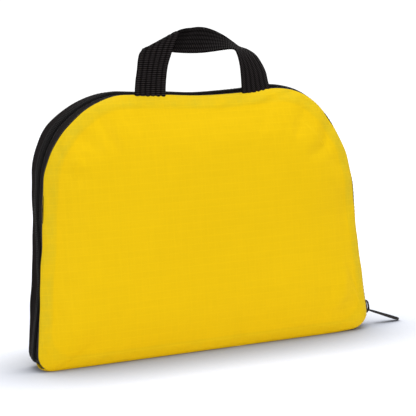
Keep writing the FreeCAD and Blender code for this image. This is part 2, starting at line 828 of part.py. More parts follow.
PIECES = [
    panel("front_panel", 1, "$front_bulge"),
    panel("back_panel", -1, "$back_bulge"),
    base_strip(),
    zipper_tape("zipper_tape_front", "-$tape_gap"),
    zipper_tape("zipper_tape_back", HALF_DEPTH + " - $seam_gap"),
    zipper_coil("zipper_coil_front", "-$tape_gap", "$front_coil_end"),
    zipper_coil("zipper_coil_back", "$tape_gap + $coil_width", "$coil_end"),
    tape_thread("tape_stitching_front", "-%s + $thread_from_seam + $thread_width" % HALF_DEPTH),
    tape_thread("tape_stitching_back", HALF_DEPTH + " - $thread_from_seam"),
    seam_binding("seam_binding_front", "-%s + $binding_gap + $binding_thickness" % HALF_DEPTH),
    seam_binding("seam_binding_back", HALF_DEPTH + " - $binding_gap"),
    end_bartacks(),
    slider_body(),
    slider_bridge(),
    slider_lock_spring(),
    pull_tab(),
    handle_webbing(),
    handle_anchor_ends(),
    handle_backing_patches(),
    handle_bartacks(),
    tote_core(),
    tote_strap("tote_strap_left", "-"),
    tote_strap("tote_strap_right", ""),
    tote_fold("tote_upper_fold", UPPER_FOLD_AXIS + " - $fold_length", UPPER_FOLD_AXIS, True),
    tote_fold("tote_lower_fold", LOWER_FOLD_AXIS, LOWER_FOLD_AXIS + " + $fold_length", False),
]


def check_and_export():
    """Stops on any failed object or unsound shape, and writes one STEP file for each piece."""
    doc.recompute()
    for thing in doc.Objects:
        if "Invalid" in thing.State or "Error" in thing.State:
            raise RuntimeError("%s is %s" % (thing.Label, thing.State))
    os.makedirs("parts", exist_ok=True)
    for piece in PIECES:
        shape = piece.Shape
        if shape.isNull() or not shape.isValid() or not shape.Solids:
            raise RuntimeError(piece.Label + " has no sound solid")
        box = shape.BoundBox
        print(
            "%-24s %d solid(s) %9.1f mm3  x %7.1f %7.1f  y %6.1f %6.1f  z %6.1f %6.1f"
            % (piece.Label, len(shape.Solids), shape.Volume, box.XMin, box.XMax, box.YMin,
               box.YMax, box.ZMin, box.ZMax)
        )
        shape.exportStep("parts/%s.step" % piece.Label)


check_and_export()
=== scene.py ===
import math

import bmesh
import bpy
import numpy as np
from mathutils import Matrix, Vector, noise


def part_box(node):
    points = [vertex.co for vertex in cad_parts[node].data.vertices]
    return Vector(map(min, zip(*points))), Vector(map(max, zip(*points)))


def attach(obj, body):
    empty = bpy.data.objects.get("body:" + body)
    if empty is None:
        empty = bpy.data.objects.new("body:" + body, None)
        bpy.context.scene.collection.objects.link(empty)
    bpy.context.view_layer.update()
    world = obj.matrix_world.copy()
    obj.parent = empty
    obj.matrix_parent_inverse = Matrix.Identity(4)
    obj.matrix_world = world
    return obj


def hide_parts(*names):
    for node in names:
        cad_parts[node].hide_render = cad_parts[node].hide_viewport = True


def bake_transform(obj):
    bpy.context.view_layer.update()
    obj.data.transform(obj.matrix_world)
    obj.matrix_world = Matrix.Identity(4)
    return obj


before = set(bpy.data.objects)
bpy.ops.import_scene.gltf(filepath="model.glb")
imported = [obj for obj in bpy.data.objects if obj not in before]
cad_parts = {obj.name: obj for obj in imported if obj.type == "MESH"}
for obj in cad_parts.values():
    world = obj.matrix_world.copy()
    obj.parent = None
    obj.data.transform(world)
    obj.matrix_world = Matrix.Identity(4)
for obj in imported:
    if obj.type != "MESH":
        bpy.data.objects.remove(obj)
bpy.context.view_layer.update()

# ---------------------------------------------------------------- sizes, in metres

MM = 0.001
HALF_BASE = 0.14
LEAN = math.radians(5.8)
BASE_RADIUS = 0.012
TOP_RADIUS = 0.066
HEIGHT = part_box("zipper_tape_back")[1].z
CHAIN_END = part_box("zipper_tape_back")[0].z
GUSSET_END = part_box("base_gusset")[1].z
SEAM_DEPTH = 0.014
FRONT_BULGE = -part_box("front_panel")[0].y - SEAM_DEPTH
BACK_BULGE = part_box("back_panel")[1].y - SEAM_DEPTH
CLOTH = 0.7 * MM
BAND_BULGE = 2.2 * MM
CORNER_SPREAD = 1.6  # how much rounder the base corners get, per inset


def smooth(low, high, value):
    """0 below low, 1 above high, and an even curve between them."""
    t = np.clip((value - low) / (high - low), 0.0, 1.0)
    return t * t * (3 - 2 * t)


def hill(centre, reach, value):
    """1 at centre, falling evenly to 0 at reach on both sides."""
    return 1 - smooth(0, reach, np.abs(value - centre))


def grain(point, scale, seed):
    """Smooth noise between about -1 and 1, whose lumps are about scale across."""
    p = Vector(point) / scale
    return noise.noise(p + Vector((seed * 7.31, seed * 3.17, seed * 5.73)))


# ---------------------------------------------------------------- the pouch's outline


class Outline:
    """The closed D outline at an inset, walked anticlockwise, seen from the front, from the
    middle of the base. A spread above zero rounds the base corners more."""

    def __init__(self, inset=0.0, spread=0.0):
        base_r = BASE_RADIUS - inset + spread
        top_r = TOP_RADIUS - inset
        base = HALF_BASE - BASE_RADIUS * (1 + math.sin(LEAN)) / math.cos(LEAN) - spread
        run = (HEIGHT - TOP_RADIUS + TOP_RADIUS * math.sin(LEAN)) * math.tan(LEAN)
        top = HALF_BASE - run - TOP_RADIUS * math.cos(LEAN)
        low, high = BASE_RADIUS + spread, HEIGHT - TOP_RADIUS
        span = math.hypot(base - top, high - low)
        self.side = math.acos((top_r - base_r) / span) - math.atan2(high - low, base - top)
        side_length = math.sqrt(span**2 - (top_r - base_r) ** 2)
        half = math.pi / 2
        corner, crown = half + self.side, half - self.side
        # each stretch: length, start angle of its normal, turn of the normal, arc centre or start
        self.stretches = (
            (base, -half, 0, (0.0, low - base_r)),
            (base_r * corner, -half, corner, (base, low)),
            (side_length, self.side, 0, self._on(base, low, base_r, self.side)),
            (top_r * crown, self.side, crown, (top, high)),
            (2 * top, half, 0, (top, high + top_r)),
            (top_r * crown, half, crown, (-top, high)),
            (side_length, math.pi - self.side, 0, self._on(-top, high, top_r, math.pi - self.side)),
            (base_r * corner, math.pi - self.side, corner, (-base, low)),
            (base, -half, 0, (-base, low - base_r)),
        )
        self.length = sum(stretch[0] for stretch in self.stretches)

    @staticmethod
    def _on(x, z, radius, angle):
        return x + radius * math.cos(angle), z + radius * math.sin(angle)

    def on_stretch(self, index, share):
        """(x, z, normal angle) at a share of one stretch."""
        length, angle, turn, place = self.stretches[index]
        if turn:
            now = angle + turn * share
            return (*self._on(*place, length / turn, now), now)
        along = angle + math.pi / 2
        return (*self._on(*place, length * share, along), angle)

    def at(self, s):
        """(x, z, normal angle) at a length along the outline."""
        s = s % self.length
        for index, stretch in enumerate(self.stretches):
            if s <= stretch[0]:
                break
            s -= stretch[0]
        return self.on_stretch(index, min(1.0, s / stretch[0]))

    def reaches(self, z, right=True):
        """The length along the outline where its right or left side reaches a height."""
        low, high = 0.0, self.length / 2
        for _ in range(50):
            middle = (low + high) / 2
            low, high = (middle, high) if self.at(middle)[1] < z else (low, middle)
        return low if right else self.length - low


OUTLINE = Outline()
RIGHT_END = OUTLINE.reaches(CHAIN_END)
LEFT_END = OUTLINE.reaches(2.2 * MM, right=False)


# ---------------------------------------------------------------- mesh helpers


def add_object(name, data):
    thing = bpy.data.objects.new(name, data)
    bpy.context.scene.collection.objects.link(thing)
    return thing


def new_piece(name, verts, faces, material, weave=None):
    """A smooth-shaded mesh object. weave gives each vertex its two cloth coordinates."""
    mesh = bpy.data.meshes.new(name)
    mesh.from_pydata([tuple(v) for v in verts], [], faces)
    if weave is not None:
        layer = mesh.uv_layers.new(name="weave")
        uv = np.array(weave, float)[[loop.vertex_index for loop in mesh.loops]]
        layer.data.foreach_set("uv", uv.astype(np.float32).ravel())
    mesh.materials.append(material)
    mesh.validate()
    face_outward(mesh)
    mesh.shade_smooth()
    return add_object(name, mesh)


def placed(piece, body, slot, *nodes):
    """Rides a piece on its body and lets it stand for CAD nodes."""
    if nodes:
        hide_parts(*nodes)
    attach(piece, body)


def face_outward(mesh):
    """Turns every face of a closed mesh to look outward."""
    edit = bmesh.new()
    edit.from_mesh(mesh)
    bmesh.ops.recalc_face_normals(edit, faces=edit.faces)
    edit.to_mesh(mesh)
    edit.free()


def with_modifiers(piece, *wanted):
    """Adds modifiers, each (type, settings), and applies them to the mesh."""
    for kind, settings in wanted:
        modifier = piece.modifiers.new(kind.title(), kind)
        for key, value in settings.items():
            setattr(modifier, key, value)
    bake(piece)


def bake(piece):
    """Replaces the piece's mesh by what its modifiers make of it."""
    depsgraph = bpy.context.evaluated_depsgraph_get()
    mesh = bpy.data.meshes.new_from_object(piece.evaluated_get(depsgraph))
    piece.modifiers.clear()
    piece.data = mesh
    piece.data.name = piece.name


def mark_points(mesh, name, values):
    """Gives each vertex a number that the materials can read."""
    layer = mesh.attributes.new(name, "FLOAT", "POINT")
    layer.data.foreach_set("value", values.astype(np.float32))


def unit(vectors):
    return vectors / np.maximum(np.linalg.norm(vectors, axis=-1, keepdims=True), 1e-12)


def run_along(points):
    """The length from the first point to each."""
    steps = np.linalg.norm(np.diff(points, axis=0), axis=1)
    return np.concatenate([[0], np.cumsum(steps)])


def loft(sections, closed=False, capped=True):
    """Faces between rows of points that are closed loops, all of one size."""
    rows, around = len(sections), len(sections[0])
    verts = [point for section in sections for point in section]
    faces = []
    for row in range(rows if closed else rows - 1):
        here, after = row * around, (row + 1) % rows * around
        for k in range(around):
            k2 = (k + 1) % around
            faces.append((here + k, here + k2, after + k2, after + k))
    if capped and not closed:
        faces.append(tuple(range(around - 1, -1, -1)))
        faces.append(tuple((rows - 1) * around + k for k in range(around)))
    return verts, faces


def tube(points, references, radius, sides=6):
    """A round tube through points; each reference is a direction off the tube's own."""
    points = np.array(points, float)
    ahead = unit(np.gradient(points, axis=0))
    refs = np.array(references, float)
    first = unit(refs - ahead * np.sum(refs * ahead, axis=1)[:, None])
    second = np.cross(ahead, first)
    turns = [2 * math.pi * k / sides for k in range(sides)]
    rings = [
        [p + radius * (math.cos(a) * f + math.sin(a) * g) for a in turns]
        for p, f, g in zip(points, first, second)
    ]
    return loft(rings)


def merge(parts):
    """One set of vertices and faces out of many."""
    verts, faces = [], []
    for some_verts, some_faces in parts:
        start = len(verts)
        verts.extend(some_verts)
        faces.extend(tuple(index + start for index in face) for face in some_faces)
    return verts, faces


# ---------------------------------------------------------------- the band round the pouch


def sag(s, x, y, z):
    """How far the zipper band stands out of the outline between its two seams. It bulges where
    the slider runs and dips elsewhere, most at the lower left."""
    half_way = OUTLINE.length / 2
    left = smooth(half_way, half_way + 0.05, s)
    bulge = BAND_BULGE * (1 - smooth(RIGHT_END + 0.12, RIGHT_END + 0.18, s))
    dip = 0.9 * MM * smooth(RIGHT_END + 0.15, half_way, s)
    dip = dip + left * (3.6 * MM * hill(0.062, 0.055, z) + 0.8 * MM * hill(0.15, 0.03, z))
    ripple = np.sin(s / 0.0083 + 90 * y) * np.sin(s / 0.0291 + 1.3) * smooth(0.3, half_way, s)
    return (bulge - dip + 0.3 * MM * ripple) * (1 - (y / SEAM_DEPTH) ** 2)


def waver(s):
    """The uneven run of a hand-guided seam, from about -1 to 1."""
    return 0.5 * np.sin(s / 0.0049) * np.sin(s / 0.021 + 0.6) + 0.5 * np.sin(s / 0.0117 + 2.0)


def drape(points):
    """Where points of the stiff outline come to rest once the soft pouch has sagged: its top
    dips in the middle, its front seam hangs below the back one and its corners slump."""
    p = np.array(points, float)
    x, y, z = p[..., 0], p[..., 1], p[..., 2]
    front = np.clip((SEAM_DEPTH - y) / (2 * SEAM_DEPTH), 0.0, 1.0)
    top = smooth(0.11, 0.195, z)
    left, right = smooth(0.06, 0.11, -x), smooth(0.06, 0.11, x)
    down = 4.2 * MM * hill(0.014, 0.085, x)
    down = down + front * (2.6 * MM + 2.6 * MM * hill(-0.105, 0.045, x))
    down = down * top + 1.8 * MM * front * right * hill(0.165, 0.04, z)
    down = down - 1.6 * MM * front * smooth(0.105, 0.137, x) * (1 - smooth(0.0, 0.016, z))
    along = right * front * (2.4 * MM * hill(0.118, 0.05, z) - 1.6 * MM * hill(0.170, 0.035, z))
    along = along - 1.3 * MM * right * front * (1 - smooth(0.0, 0.02, z))
    behind = 3.4 * MM * hill(0.170, 0.065, z) + 0.9 * MM * hill(0.180, 0.014, z)
    along = along - left * (1 - front) * behind
    along = along + left * front * 1.4 * MM * hill(0.180, 0.035, z)
    uneven = 0.55 * MM * (waver(x * 0.6 + z * 1.1) * front + waver(x * 0.5 - z + 0.4) * (1 - front))
    p[..., 0] = x + along + uneven * np.sign(x) * smooth(0.05, 0.12, np.abs(x)) * smooth(0.03, 0.05, z)
    p[..., 2] = z - down + 0.6 * uneven * top * (1 - smooth(0.07, 0.11, np.abs(x)))
    return p


def on_band(places):
    """Points of the band from rows of (along it, across it, out of it)."""
    s, y, lift = np.array(places, float).T
    x, z, angle = np.array([OUTLINE.at(v) for v in s]).T
    lift = lift + sag(s, x, y, z)
    return drape(np.stack([x + np.cos(angle) * lift, y, z + np.sin(angle) * lift], axis=1))


def band(name, start, end, section, step, material, closed=False):
    """A strip along the outline whose section is a closed loop of (y, lift)."""
    count = max(2, round((end - start) / step))
    stations = [start + (end - start) * k / count for k in range(count + (0 if closed else 1))]
    points = on_band([(s, y, lift) for s in stations for y, lift in section])
    rows = points.reshape(len(stations), len(section), 3)
    verts, faces = loft(rows, closed=closed)
    weave = [(s, y) for s in stations for y, _ in section]
    return new_piece(name, verts, faces, material, weave)


def strip_section(y_from, y_to, low, high, steps=10):
    """A thin rounded rectangle across the band, with its points in order round it."""
    middle = (low + high) / 2
    ease = 0.3 * MM if y_to > y_from else -0.3 * MM
    ys = np.linspace(y_from + ease, y_to - ease, steps)
    return (
        [(y_from, middle)]
        + [(y, low) for y in ys]
        + [(y_to, middle)]
        + [(y, high) for y in ys[::-1]]
    )


# ---------------------------------------------------------------- materials


class Signal:
    """A value that runs between a material's nodes, for use in plain sums."""

    def __init__(self, nodes, socket):
        self.nodes, self.socket = nodes, socket

    def __add__(self, other):
        return self.nodes.maths("ADD", self, other)

    def __sub__(self, other):
        return self.nodes.maths("SUBTRACT", self, other)

    def __rsub__(self, other):
        return self.nodes.maths("SUBTRACT", other, self)

    def __mul__(self, other):
        return self.nodes.maths("MULTIPLY", self, other)

    def __truediv__(self, other):
        return self.nodes.maths("DIVIDE", self, other)

    def __pow__(self, other):
        return self.nodes.maths("POWER", self, other)

    def __abs__(self):
        return self.nodes.maths("ABSOLUTE", self)


class Nodes:
    """A material's node tree, with short ways to add the nodes that these materials share."""

    def __init__(self, name):
        self.material = bpy.data.materials.new(name)
        self.material.use_nodes = True
        self.tree = self.material.node_tree
        self.shader = self.tree.nodes["Principled BSDF"]

    def make(self, kind, inputs=(), output=0, **settings):
        """One output of a new node, whose inputs are given by name or number."""
        node = self.tree.nodes.new(kind)
        for key, value in settings.items():
            setattr(node, key, value)
        for key, value in dict(inputs).items():
            self.join(value, node.inputs[key])
        return Signal(self, node.outputs[output])

    def join(self, value, socket):
        if isinstance(value, Signal):
            self.tree.links.new(value.socket, socket)
        elif isinstance(value, tuple) and len(value) < len(socket.default_value):
            socket.default_value = (*value, 1.0)
        else:
            socket.default_value = value

    def maths(self, operation, *values):
        return self.make("ShaderNodeMath", enumerate(values), operation=operation)

    def larger(self, first, second):
        return self.maths("MAXIMUM", first, second)

    def held(self, value):
        """A value kept from 0 to 1."""
        return self.maths("MINIMUM", self.larger(value, 0.0), 1.0)

    def axes(self):
        """The three separate coordinates of a point, in the object's own space."""
        return self.split(self.make("ShaderNodeTexCoord", output="Object"))

    def weave(self):
        """A point's place along and across the woven piece."""
        return self.split(self.make("ShaderNodeUVMap", uv_map="weave"))[:2]

    def split(self, place):
        first = self.make("ShaderNodeSeparateXYZ", {0: place})
        return [Signal(self, output) for output in first.socket.node.outputs]

    def painted(self, name):
        """A number that the mesh holds at each vertex."""
        return self.make("ShaderNodeAttribute", output="Fac", attribute_name=name)

    def noise(self, scale, detail=2.0, stretch=(1, 1, 1)):
        """Noise over the object's own space, scaled in lumps per metre."""
        place = self.make("ShaderNodeTexCoord", output="Object")
        place = self.make("ShaderNodeMapping", {"Vector": place, "Scale": stretch})
        return self.make("ShaderNodeTexNoise", {"Vector": place, "Scale": scale, "Detail": detail})

    def wave(self, coordinate, pitch):
        """A sine from -1 to 1 along a coordinate, once each pitch."""
        return self.maths("SINE", coordinate * (2 * math.pi / pitch))

    def line(self, coordinate, pitch, share):
        """1 on a narrow line once each pitch and 0 between the lines, with soft edges."""
        off = abs(self.maths("FRACT", coordinate * (1 / pitch)) - 0.5)
        return self.held((share - off) / share)

    def steps(self, value, low, high):
        """0 below low, 1 above high, and a straight ramp between them."""
        return self.held((value - low) / (high - low))

    def mix(self, factor, first, second):
        return self.make("ShaderNodeMix", {0: factor, 6: first, 7: second}, 2, data_type="RGBA")

    def spread(self, value, low, high):
        """Moves a value in 0 to 1 to the range low to high."""
        return self.make("ShaderNodeMapRange", {0: value, 3: low, 4: high})

    def bumps(self, *layers):
        """Stacks bump layers of (height, distance in metres, strength)."""
        below = {}
        for height, distance, strength in layers:
            inputs = {"Height": height, "Distance": distance, "Strength": strength}
            below = {"Normal": self.make("ShaderNodeBump", inputs | below)}
        self.join(below["Normal"], self.shader.inputs["Normal"])

    def finish(self, **inputs):
        for key, value in inputs.items():
            self.join(value, self.shader.inputs[key.replace("_", " ")])
        return self.material


RIPSTOP_CELL = 5.5 * MM
RIPSTOP_THREAD = 0.55 * MM


def ripstop(name, lying=False):
    """Yellow ripstop cloth: a plain weave with a square grid of stronger threads. Close to a
    seam, where the edge is turned in, the cloth is doubled; that band and its edge are painted
    deeper and greyer, partly for the layers showing through and partly as painted shade of the
    wrinkles and the ridge there."""
    n = Nodes(name)
    first, depth, second = n.axes()
    if lying:
        second = depth
    half = RIPSTOP_CELL / 2
    strong = n.larger(n.line(first, RIPSTOP_CELL, 0.07) * 0.7, n.line(second, RIPSTOP_CELL, 0.09))
    weak = n.larger(n.line(first + half, RIPSTOP_CELL, 0.05), n.line(second + half, RIPSTOP_CELL, 0.06))
    grid = n.larger(strong, weak * 0.4)
    weave = n.wave(first, RIPSTOP_THREAD) * n.wave(second, RIPSTOP_THREAD)
    cloud = n.noise(14, 3)
    streak = n.noise(260, 1, (0.12, 1.0, 0.12) if lying else (0.12, 0.12, 1.0))
    slub = n.noise(420, 1, (1.0, 1.0, 0.08))
    shade = streak * 0.5 + slub * 0.5
    near = n.painted("near_seam")
    # A deeper, greyer, patchy band near the seam: partly the doubled layers showing through, partly
    # painted shade of the seam's wrinkles.
    doubled = n.steps(near, 0.50, 0.66) * n.spread(n.noise(95, 2), -0.1, 1.3)
    # On the panels this painted band and its shade fade towards the base.
    if not lying:
        above_base = n.steps(second, 4 * MM, 26 * MM)
        doubled = doubled * (above_base * 0.8 + 0.2)
    # A darker line at the turned-in edge: partly the edge showing through, partly painted shade at the
    # ridge it raises.
    edge = n.steps(near, 0.46, 0.56) * (1.0 - n.steps(near, 0.56, 0.68))
    colour = n.mix(cloud, (0.715, 0.458, 0.0012), (0.760, 0.494, 0.0020))
    # The doubled band and the edge line below are partly painted shade.
    for share, tint in (
        (n.spread(shade, -0.35, 0.75), (0.680, 0.434, 0.0011)),
        (doubled * 0.70, (0.555, 0.420, 0.014)),
        (edge * 0.13, (0.500, 0.360, 0.010)),
        (grid * 0.30, (0.82, 0.555, 0.005)),
    ):
        colour = n.mix(share, colour, tint)
    n.bumps((weave, 0.05 * MM, 0.3), (grid, 0.09 * MM, 0.35), (cloud, 0.5 * MM, 0.12))
    return n.finish(
        Base_Color=colour,
        Roughness=n.spread(shade, 0.50, 0.66),
        Specular_IOR_Level=0.06,
        Sheen_Weight=0.02,
        Sheen_Roughness=0.45,
        Sheen_Tint=(1.0, 0.80, 0.15),
    )


def woven_tape(name, colour, light, pitch=0.62 * MM, pick=0.9 * MM):
    """Narrow woven tape: fine cords along it, crossed by picks."""
    n = Nodes(name)
    along, across = n.weave()
    cords = n.wave(across, pitch)
    weave = cords * 0.6 + n.wave(along, pick) * cords * 0.4
    fuzz = n.noise(1800, 2)
    tone = n.mix(n.spread(weave, 0.0, 1.0), colour, light)
    tone = n.mix(n.noise(60, 2) * 0.35, tone, tuple(1.5 * c for c in light))
    n.bumps((fuzz, 0.06 * MM, 0.4), (weave, 0.12 * MM, 0.8))
    return n.finish(
        Base_Color=tone,
        Roughness=n.spread(fuzz, 0.62, 0.85),
        Specular_IOR_Level=0.08,
        Sheen_Weight=0.02,
        Sheen_Roughness=0.5,
        Sheen_Tint=(0.9, 0.88, 0.88),
    )


RIBS = 6
PICK = 1.6 * MM
WEBBING_WIDTH = 25 * MM


def webbing_cloth(name):
    """Black webbing: its ribs and picks are in the mesh, and this paints light on their crowns
    and shade in their hollows and adds the yarn's own lines."""
    n = Nodes(name)
    along, across = n.weave()
    flat = n.painted("flat")
    ridge = n.spread(abs(n.maths("SINE", across * (math.pi * RIBS / WEBBING_WIDTH))), 0.25, 1.0)
    picks = n.maths("COSINE", along * (2 * math.pi / PICK))
    # Painted rib light: high on the lit crowns of ribs and picks, low in their shaded hollows.
    crown = ridge * (1.0 - flat * 0.45) * n.spread((picks + 1.0) * 0.5, -0.1, 1.2)
    fibres = n.wave(across + along * 0.35, 0.42 * MM)
    fuzz = n.noise(2400, 3)
    # Near black where the hollows are painted in shade, lighter where the crowns are painted lit.
    tone = n.mix(crown, (0.0003, 0.0002, 0.0002), (0.0165, 0.0125, 0.0127))
    tone = n.mix(n.noise(90, 2) * 0.25, tone, (0.0040, 0.0030, 0.0030))
    n.bumps((fuzz, 0.05 * MM, 0.35), (fibres, 0.06 * MM, 0.5))
    return n.finish(
        Base_Color=tone,
        Roughness=n.spread(fuzz, 0.42, 0.62),
        Specular_IOR_Level=n.spread(crown, 0.0, 0.17),
    )


def thread(name, dark, light):
    """Twisted sewing thread."""
    n = Nodes(name)
    x, y, z = n.axes()
    ply = n.wave(x + y + z, 0.35 * MM)
    fuzz = n.noise(3000, 2)
    n.bumps((ply, 0.05 * MM, 0.6))
    tone = n.mix(n.spread(ply + fuzz, 0.0, 1.0), dark, light)
    return n.finish(Base_Color=tone, Roughness=n.spread(fuzz, 0.45, 0.7), Sheen_Weight=0.2)


def nylon(name):
    """Black nylon monofilament, slightly satin."""
    n = Nodes(name)
    cloud = n.noise(900, 2)
    tone = n.mix(cloud, (0.0045, 0.0040, 0.0041), (0.011, 0.0100, 0.0102))
    n.bumps((n.noise(5000, 2), 0.02 * MM, 0.25))
    return n.finish(Base_Color=tone, Roughness=n.spread(cloud, 0.42, 0.58), Specular_IOR_Level=0.18)


def painted_metal(name, dark, worn, metallic=0.55):
    """Painted zinc: dark, with its edges rubbed brighter and fine scratches."""
    n = Nodes(name)
    cloud = n.noise(500, 3)
    scratch = n.noise(2600, 2, (0.15, 1.0, 1.0))
    edge = n.make("ShaderNodeNewGeometry", output="Pointiness")
    rubbed = n.held((edge - 0.52) * 9.0)
    tone = n.mix(cloud * 0.6, dark, tuple(1.7 * c for c in dark))
    tone = n.mix(rubbed * 0.7, tone, worn)
    n.bumps((scratch, 0.015 * MM, 0.3), (cloud, 0.03 * MM, 0.25))
    roughness = n.spread(scratch - rubbed * 0.4, 0.24, 0.5)
    return n.finish(Base_Color=tone, Metallic=metallic, Roughness=roughness)


YELLOW = ripstop("ripstop_panels")
YELLOW_BASE = ripstop("ripstop_base", lying=True)
TOTE_CLOTH = ripstop("ripstop_tote")
# The tape is black with a warm cast; the cast is painted light, standing in for yellow light bounced off
# the panels.
TAPE_BLACK = woven_tape("zipper_tape", (0.0038, 0.0023, 0.0023), (0.0082, 0.0052, 0.0052))
BINDING_BLACK = woven_tape(
    "seam_binding", (0.011, 0.0098, 0.010), (0.021, 0.019, 0.0195), 1.1 * MM, 1.3 * MM
)
WEBBING = webbing_cloth("webbing")
BLACK_THREAD = thread("thread_black", (0.010, 0.009, 0.0092), (0.024, 0.022, 0.0225))
COIL_NYLON = nylon("coil_nylon")
DARK_METAL = painted_metal("slider_metal", (0.013, 0.011, 0.0115), (0.12, 0.11, 0.11))
SPRING_STEEL = painted_metal("spring_steel", (0.33, 0.33, 0.34), (0.6, 0.6, 0.6), 1.0)


# ---------------------------------------------------------------- cloth


class Panel:
    """The domed cloth of one side of the pouch: rings that follow the seam round a core of rows
    and columns. side is -1 for the front and 1 for the back."""

    COUNTS = (39, 8, 40, 32, 34, 32, 40, 8, 39)
    INSETS = [v * MM for v in (0, 0.5, 1.2, 2.2, 3.5, 5.1, 7.0, 9.2, 11.8, 14.8, 18.2)]
    ROWS, COLUMNS = 50, 86

    def __init__(self, side, bulge):
        self.side, self.bulge = side, bulge
        self.points, self.insets, self.faces = [], [], []
        rings = [self.ring(inset) for inset in self.INSETS]
        around = len(rings[0])
        for ring, inset in zip(rings, self.INSETS):
            self.points += ring
            self.insets += [inset] * around
        inner = (len(rings) - 1) * around
        for low in range(0, inner, around):
            high = low + around
            for a in range(around):
                b = (a + 1) % around
                self.faces.append((low + a, low + b, high + b, high + a))
        self.core(inner, rings[-1])

    def ring(self, inset):
        outline = Outline(inset, CORNER_SPREAD * inset)
        places = [(index, k / count) for index, count in enumerate(self.COUNTS) for k in range(count)]
        return [outline.on_stretch(*place)[:2] for place in places]

    def core(self, start, ring):
        """Fills the last ring with rows and columns that ease between its four sides."""
        rows, columns = self.ROWS, self.COLUMNS
        rim = (
            [(r, columns) for r in range(rows)]
            + [(rows, c) for c in range(columns, 0, -1)]
            + [(r, 0) for r in range(rows, 0, -1)]
            + [(0, c) for c in range(columns)]
        )
        places = [(columns // 2 + k) % len(ring) for k in range(len(ring))]
        index = {cell: start + place for cell, place in zip(rim, places)}
        p = {cell: np.array(ring[place]) for cell, place in zip(rim, places)}
        for r in range(1, rows):
            for c in range(1, columns):
                u, v = c / columns, r / rows
                sides = (1 - v) * p[0, c] + v * p[rows, c] + (1 - u) * p[r, 0] + u * p[r, columns]
                low = (1 - u) * p[0, 0] + u * p[0, columns]
                high = (1 - u) * p[rows, 0] + u * p[rows, columns]
                index[r, c] = len(self.points)
                self.points.append(tuple(sides - (1 - v) * low - v * high))
                edge = 4 * min(u * (1 - u), v * (1 - v)) ** 0.5
                self.insets.append(self.INSETS[-1] + 40 * MM * edge)
        for r in range(rows):
            for c in range(columns):
                corners = ((r, c), (r, c + 1), (r + 1, c + 1), (r + 1, c))
                self.faces.append(tuple(index[corner] for corner in corners))

    def verts(self, seed):
        """The dome before any cloth movement, with slow lumps from the folded tote behind it."""
        verts = []
        for (x, z), inset in zip(self.points, self.insets):
            steep, slow = 1 - math.exp(-inset / (7.5 * MM)), 1 - math.exp(-inset / (30 * MM))
            lumps = 0.9 * MM * grain((x, 0, z), 0.055, seed) + 0.4 * MM * grain((x, 0, z), 0.02, seed + 1)
            depth = self.bulge * (0.8 * steep + 0.2 * slow) + lumps * smooth(4 * MM, 26 * MM, inset)
            if self.side < 0:
                depth += creases(x, z)
            verts.append((x, self.side * (SEAM_DEPTH + depth), z))
        return verts


CREASE_DEPTH = 1.35 * MM
# Creases of the front panel: place across and up, half length, half width (all in mm), slant in
# degrees, and height in crease depths.
CREASES = (
    (108, 166, 17, 6, 72, -1.7),
    (122, 102, 19, 6, 80, -1.7),
    (112, 38, 20, 6.5, 62, 1.5),
    (123, 19, 13, 9, 48, -2.0),
    (97, 27, 18, 7, 60, -0.7),
    (-125, 118, 15, 5, 95, -1.3),
    (-127, 62, 20, 4.5, 92, -0.9),
    (-92, 62, 30, 9, 160, 0.9),
    (-60, 52, 34, 10, 165, -0.6),
    (-88, 168, 17, 7, 40, -0.9),
    (25, 6, 9, 5, 80, -1.2),
    (-104, 12, 22, 6, 35, -0.8),
)


def creases(x, z):
    """The depth that the front panel's own creases add at a place."""
    depth = 0.0
    for middle_x, middle_z, length, width, slant, height in CREASES:
        dx, dz = x / MM - middle_x, z / MM - middle_z
        turn = math.radians(slant)
        along = (dx * math.cos(turn) + dz * math.sin(turn)) / length
        across = (dz * math.cos(turn) - dx * math.sin(turn)) / width
        depth += CREASE_DEPTH * height * math.exp(-(along**2) - across**2)
    return depth


def cloth_panel(word, side, bulge, seed):
    """A panel whose fullness gathers at its seam when it is blown out like a pillow."""
    shape = Panel(side, bulge)
    start = shape.verts(seed)
    name = f"{word}_panel_cloth"
    mesh = bpy.data.meshes.new(name)
    mesh.from_pydata(start, [], shape.faces)
    mesh.materials.append(YELLOW)
    piece = add_object(name, mesh)
    if sum(face.normal.y * face.area for face in mesh.polygons) * side < 0:
        mesh.flip_normals()
    insets = np.array(shape.insets)
    inflate(piece, insets)
    settle(piece, np.array(start), insets, side, seed)
    mark_points(piece.data, "near_seam", np.maximum(0.0, 1 - insets / (20 * MM)))
    piece.data.shade_smooth()
    with_modifiers(
        piece,
        ("SUBSURF", {"levels": 1, "render_levels": 1}),
        ("SOLIDIFY", {"thickness": CLOTH, "offset": -1.0, "use_even_offset": False}),
    )
    placed(piece, f"pouch_{word}", "ripstop_yellow", f"{word}_panel")


CLOTH_SETTINGS = {
    "quality": 6,
    "mass": 0.12,
    "tension_stiffness": 25,
    "compression_stiffness": 12,
    "shear_stiffness": 6,
    "bending_stiffness": 0.08,
    "air_damping": 2,
    "tension_damping": 8,
    "compression_damping": 8,
    "vertex_group_mass": "held",
    "vertex_group_shrink": "loose",
    "shrink_min": 0.0,
    "shrink_max": -0.045,
    "use_pressure": True,
    "uniform_pressure_force": 3.0,
}
CLOTH_FRAMES = 25


